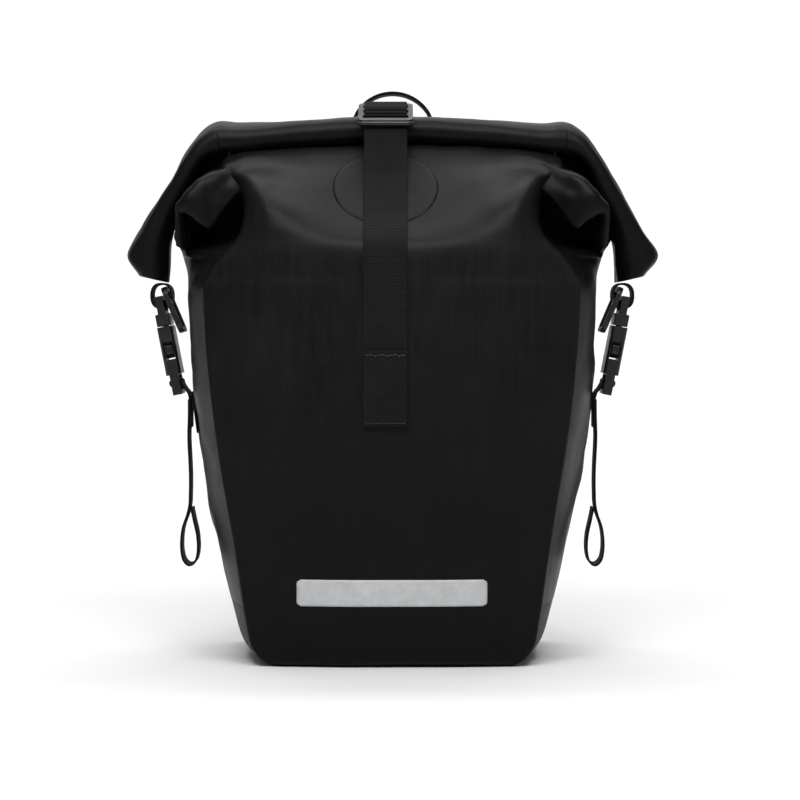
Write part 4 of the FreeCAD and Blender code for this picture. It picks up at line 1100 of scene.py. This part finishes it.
for name, side in SIDES:
    ring_low, ring_high = lowest(name + "_tail_loop"), highest(name + "_tail_loop")
    middle = (ring_low + ring_high) / 2
    wide = (ring_high.x - ring_low.x) / 2 - WEB / 2
    tall = (ring_high.z - ring_low.z) / 2 - WEB / 2
    line = [middle + Vector((squared(a, 0.8) * wide, 0, squared(b, 0.8) * tall)) for a, b in circle(36)]
    webbing(name + "_tail_loop_webbing", line, DEEP, SIDE_WEB, WEB,
            stands_for=[name + "_tail_loop"], joined=True)

    pivot = Vector((side * BUCKLE_OUT, ROLL_Y, BUCKLE_MID))
    lean = Matrix.Rotation(side * BUCKLE_LEAN, 3, "Y")
    bar = pivot + lean @ Vector((0, 0, BUCKLE_BAR))
    rest_x = side * (wall_half(ANCHOR_TOP) + 2.6)
    line = [bar + lean @ Vector(spot) for spot in (
        (side * 2, 0, -2.9), (side * 4.2, 0, -1.2), (side * 4.2, 0, 1.4), (side * 2, 0, 2.9),
        (-side * 2, 0, 2.9), (-side * 4.4, 0, 1.2), (-side * 4.6, 0, -1.6), (-side * 6.2, 0, -6.0),
    )]
    line.append(Vector((rest_x + side * 1.5, ROLL_Y, 203)))
    line += [Vector((rest_x, ROLL_Y, z)) for z in (196, 186, 176)]
    webbing(name + "_side_strap_webbing", through(line, 4), DEEP, SIDE_WEB, WEB,
            stands_for=[name + "_side_strap"])

    hang_x = side * HANG_OUT
    line = []
    for n in range(12):
        z = mix(198, 116, n / 11)
        sway = side * 0.7 * math.sin(n * 0.55)
        line.append(Vector((hang_x + sway * ease(n, 1, 5), ROLL_Y, z)))
    teardrop = [
        (1.5, 108), (5.2, 97), (6.5, 84), (5.0, 73), (0.5, 68.2),
        (-4.5, 71), (-6.6, 80), (-6.0, 92), (-3.4, 104), (-1.7, 113),
    ]
    line += [Vector((hang_x + side * a, ROLL_Y, z)) for a, z in teardrop]
    webbing(name + "_pull_strap_webbing", through(line, 4), DEEP, SIDE_WEB, WEB,
            stands_for=[name + "_pull_strap"])

    patch_low, patch_high = lowest(name + "_anchor_patch"), highest(name + "_anchor_patch")
    grid = []
    for n in range(9):
        z = mix(patch_low.z, patch_high.z, n / 8)
        row = []
        for k in range(9):
            y = mix(patch_low.y, patch_high.y, k / 8)
            half = side_half(z, (y - SEAM_Y) / (BACK_Y - SEAM_Y))
            row.append(Vector((side * (half + 1.1), y, z)))
        grid.append(row)
    lay_cloth(name + "_anchor_cloth", grid, ROLL_TARPAULIN, 1.0, stands_for=[name + "_anchor_patch"])

# ---------------------------------------------------------------- hard parts

HARD_PARTS = [
    ("ladder_lock", "ladder_lock_frame", BUCKLE_PLASTIC, "black_plastic", 1.2),
    ("back_plate", "inner_back_plate", INNER_PLASTIC, "inner_plastic", 0.4),
    ("upper_rail", "upper_rail_bar", RAIL_METAL, "rail_aluminium", 0.6),
    ("lower_rail", "lower_rail_bar", RAIL_METAL, "rail_aluminium", 0.4),
    ("rail_screws", "rail_screw_set", SCREW_METAL, "steel", 0.4),
    ("hook_screws", "hook_screw_set", SCREW_METAL, "steel", 0.4),
    ("track_screws", "track_screw_set", SCREW_METAL, "steel", 0.4),
    ("washers", "washer_set", SCREW_METAL, "steel", 0.15),
    ("nuts", "nut_set", SCREW_METAL, "steel", 0.3),
    ("lower_hook_slider", "lower_hook_carriage", HOOK_PLASTIC, "black_plastic", 0.7),
    ("lower_hook_pivot", "lower_hook_rivet", SCREW_METAL, "steel", 0.5),
    ("lower_hook", "lower_hook_claw", HOOK_PLASTIC, "black_plastic", 1.0),
]
for name, side in SIDES:
    HARD_PARTS += [
        (name + "_hook", name + "_hook_body", HOOK_PLASTIC, "black_plastic", 0.9),
        (name + "_hook_liner", name + "_hook_insert", LINER_PLASTIC, "liner_plastic", 0.3),
        (name + "_latch", name + "_latch_lever", HOOK_PLASTIC, "black_plastic", 0.6),
        (name + "_latch_pin", name + "_latch_rivet", SCREW_METAL, "steel", 0.3),
        (name + "_buckle_female", name + "_buckle_shell", BUCKLE_PLASTIC, "black_plastic", 0.8),
        (name + "_buckle_male", name + "_buckle_plug", BUCKLE_PLASTIC, "black_plastic", 0.7),
        (name + "_prong_front", name + "_front_catch", BUCKLE_PLASTIC, "black_plastic", 0.6),
        (name + "_prong_rear", name + "_rear_catch", BUCKLE_PLASTIC, "black_plastic", 0.6),
        (name + "_d_ring", name + "_ring", BUCKLE_PLASTIC, "black_plastic", 1.3),
    ]
for node, name, finish, slot, width in HARD_PARTS:
    moulded(node, name, finish, body_of(frame["nodes"][node])[0], width)

# ---------------------------------------------------------------- ground, light and camera


def ground_sweep():
    """A pale floor that curves up into a backdrop."""
    profile = [(-4.0, 0.0), (1.2, 0.0)]
    for k in range(1, 13):
        turn = math.radians(90 * k / 12)
        profile.append((1.2 + 1.2 * math.sin(turn), 1.2 - 1.2 * math.cos(turn)))
    profile.append((2.4, 6.0))
    points, faces = [], []
    for y, z in profile:
        points += [(-5.0, y, z), (5.0, y, z)]
    for k in range(len(profile) - 1):
        faces.append((2 * k, 2 * k + 1, 2 * k + 3, 2 * k + 2))
    mesh = bpy.data.meshes.new("ground_sweep")
    mesh.from_pydata(points, [], faces)
    for face in mesh.polygons:
        face.use_smooth = True
    mesh.materials.append(GROUND)
    ground = placed("ground_sweep", mesh)
    ground.location.z = -0.0004


def softbox(name, place, target, wide, tall, power):
    lamp = bpy.data.lights.new(name, "AREA")
    lamp.shape = "RECTANGLE"
    lamp.size = wide
    lamp.size_y = tall
    lamp.energy = power
    softbox_stand = placed(name, lamp)
    softbox_stand.location = place
    aim = Vector(target) - Vector(place)
    softbox_stand.rotation_euler = aim.to_track_quat("-Z", "Y").to_euler()


ground_sweep()
softbox("top_softbox", (0.0, -0.2, 1.7), (0, -0.05, 0.35), 1.3, 0.9, 7)
softbox("shoulder_softbox", (0.0, -0.95, 1.25), (0, -0.05, 0.33), 1.1, 0.55, 15)
softbox("floor_light", (0.0, -2.3, 1.9), (0, -1.0, 0.0), 2.4, 0.8, 5)
softbox("left_strip", (-1.6, -0.5, 0.6), (-0.1, 0, 0.2), 0.35, 1.3, 0.6)
softbox("right_strip", (1.6, -0.5, 0.6), (0.1, 0, 0.2), 0.35, 1.3, 0.6)
softbox("backdrop_light", (0.0, 1.0, 2.6), (0, 2.2, 0.7), 3.0, 1.0, 60)

world = bpy.data.worlds.new("studio")
world.use_nodes = True
world.node_tree.nodes["Background"].inputs["Color"].default_value = (1, 1, 1, 1)
world.node_tree.nodes["Background"].inputs["Strength"].default_value = 0.1
bpy.context.scene.world = world
bpy.context.scene.view_settings.view_transform = "Standard"

eye = bpy.data.cameras.new("front_camera")
eye.lens = 111
eye.sensor_width = 36
camera = placed("front_camera", eye)
aim_at = Vector((0.006, -0.02, 0.1985))
height = math.radians(2.2)
camera.location = aim_at + Vector((0, -math.cos(height), math.sin(height))) * 1.9
camera.rotation_euler = (aim_at - camera.location).to_track_quat("-Z", "Y").to_euler()
bpy.context.scene.camera = camera
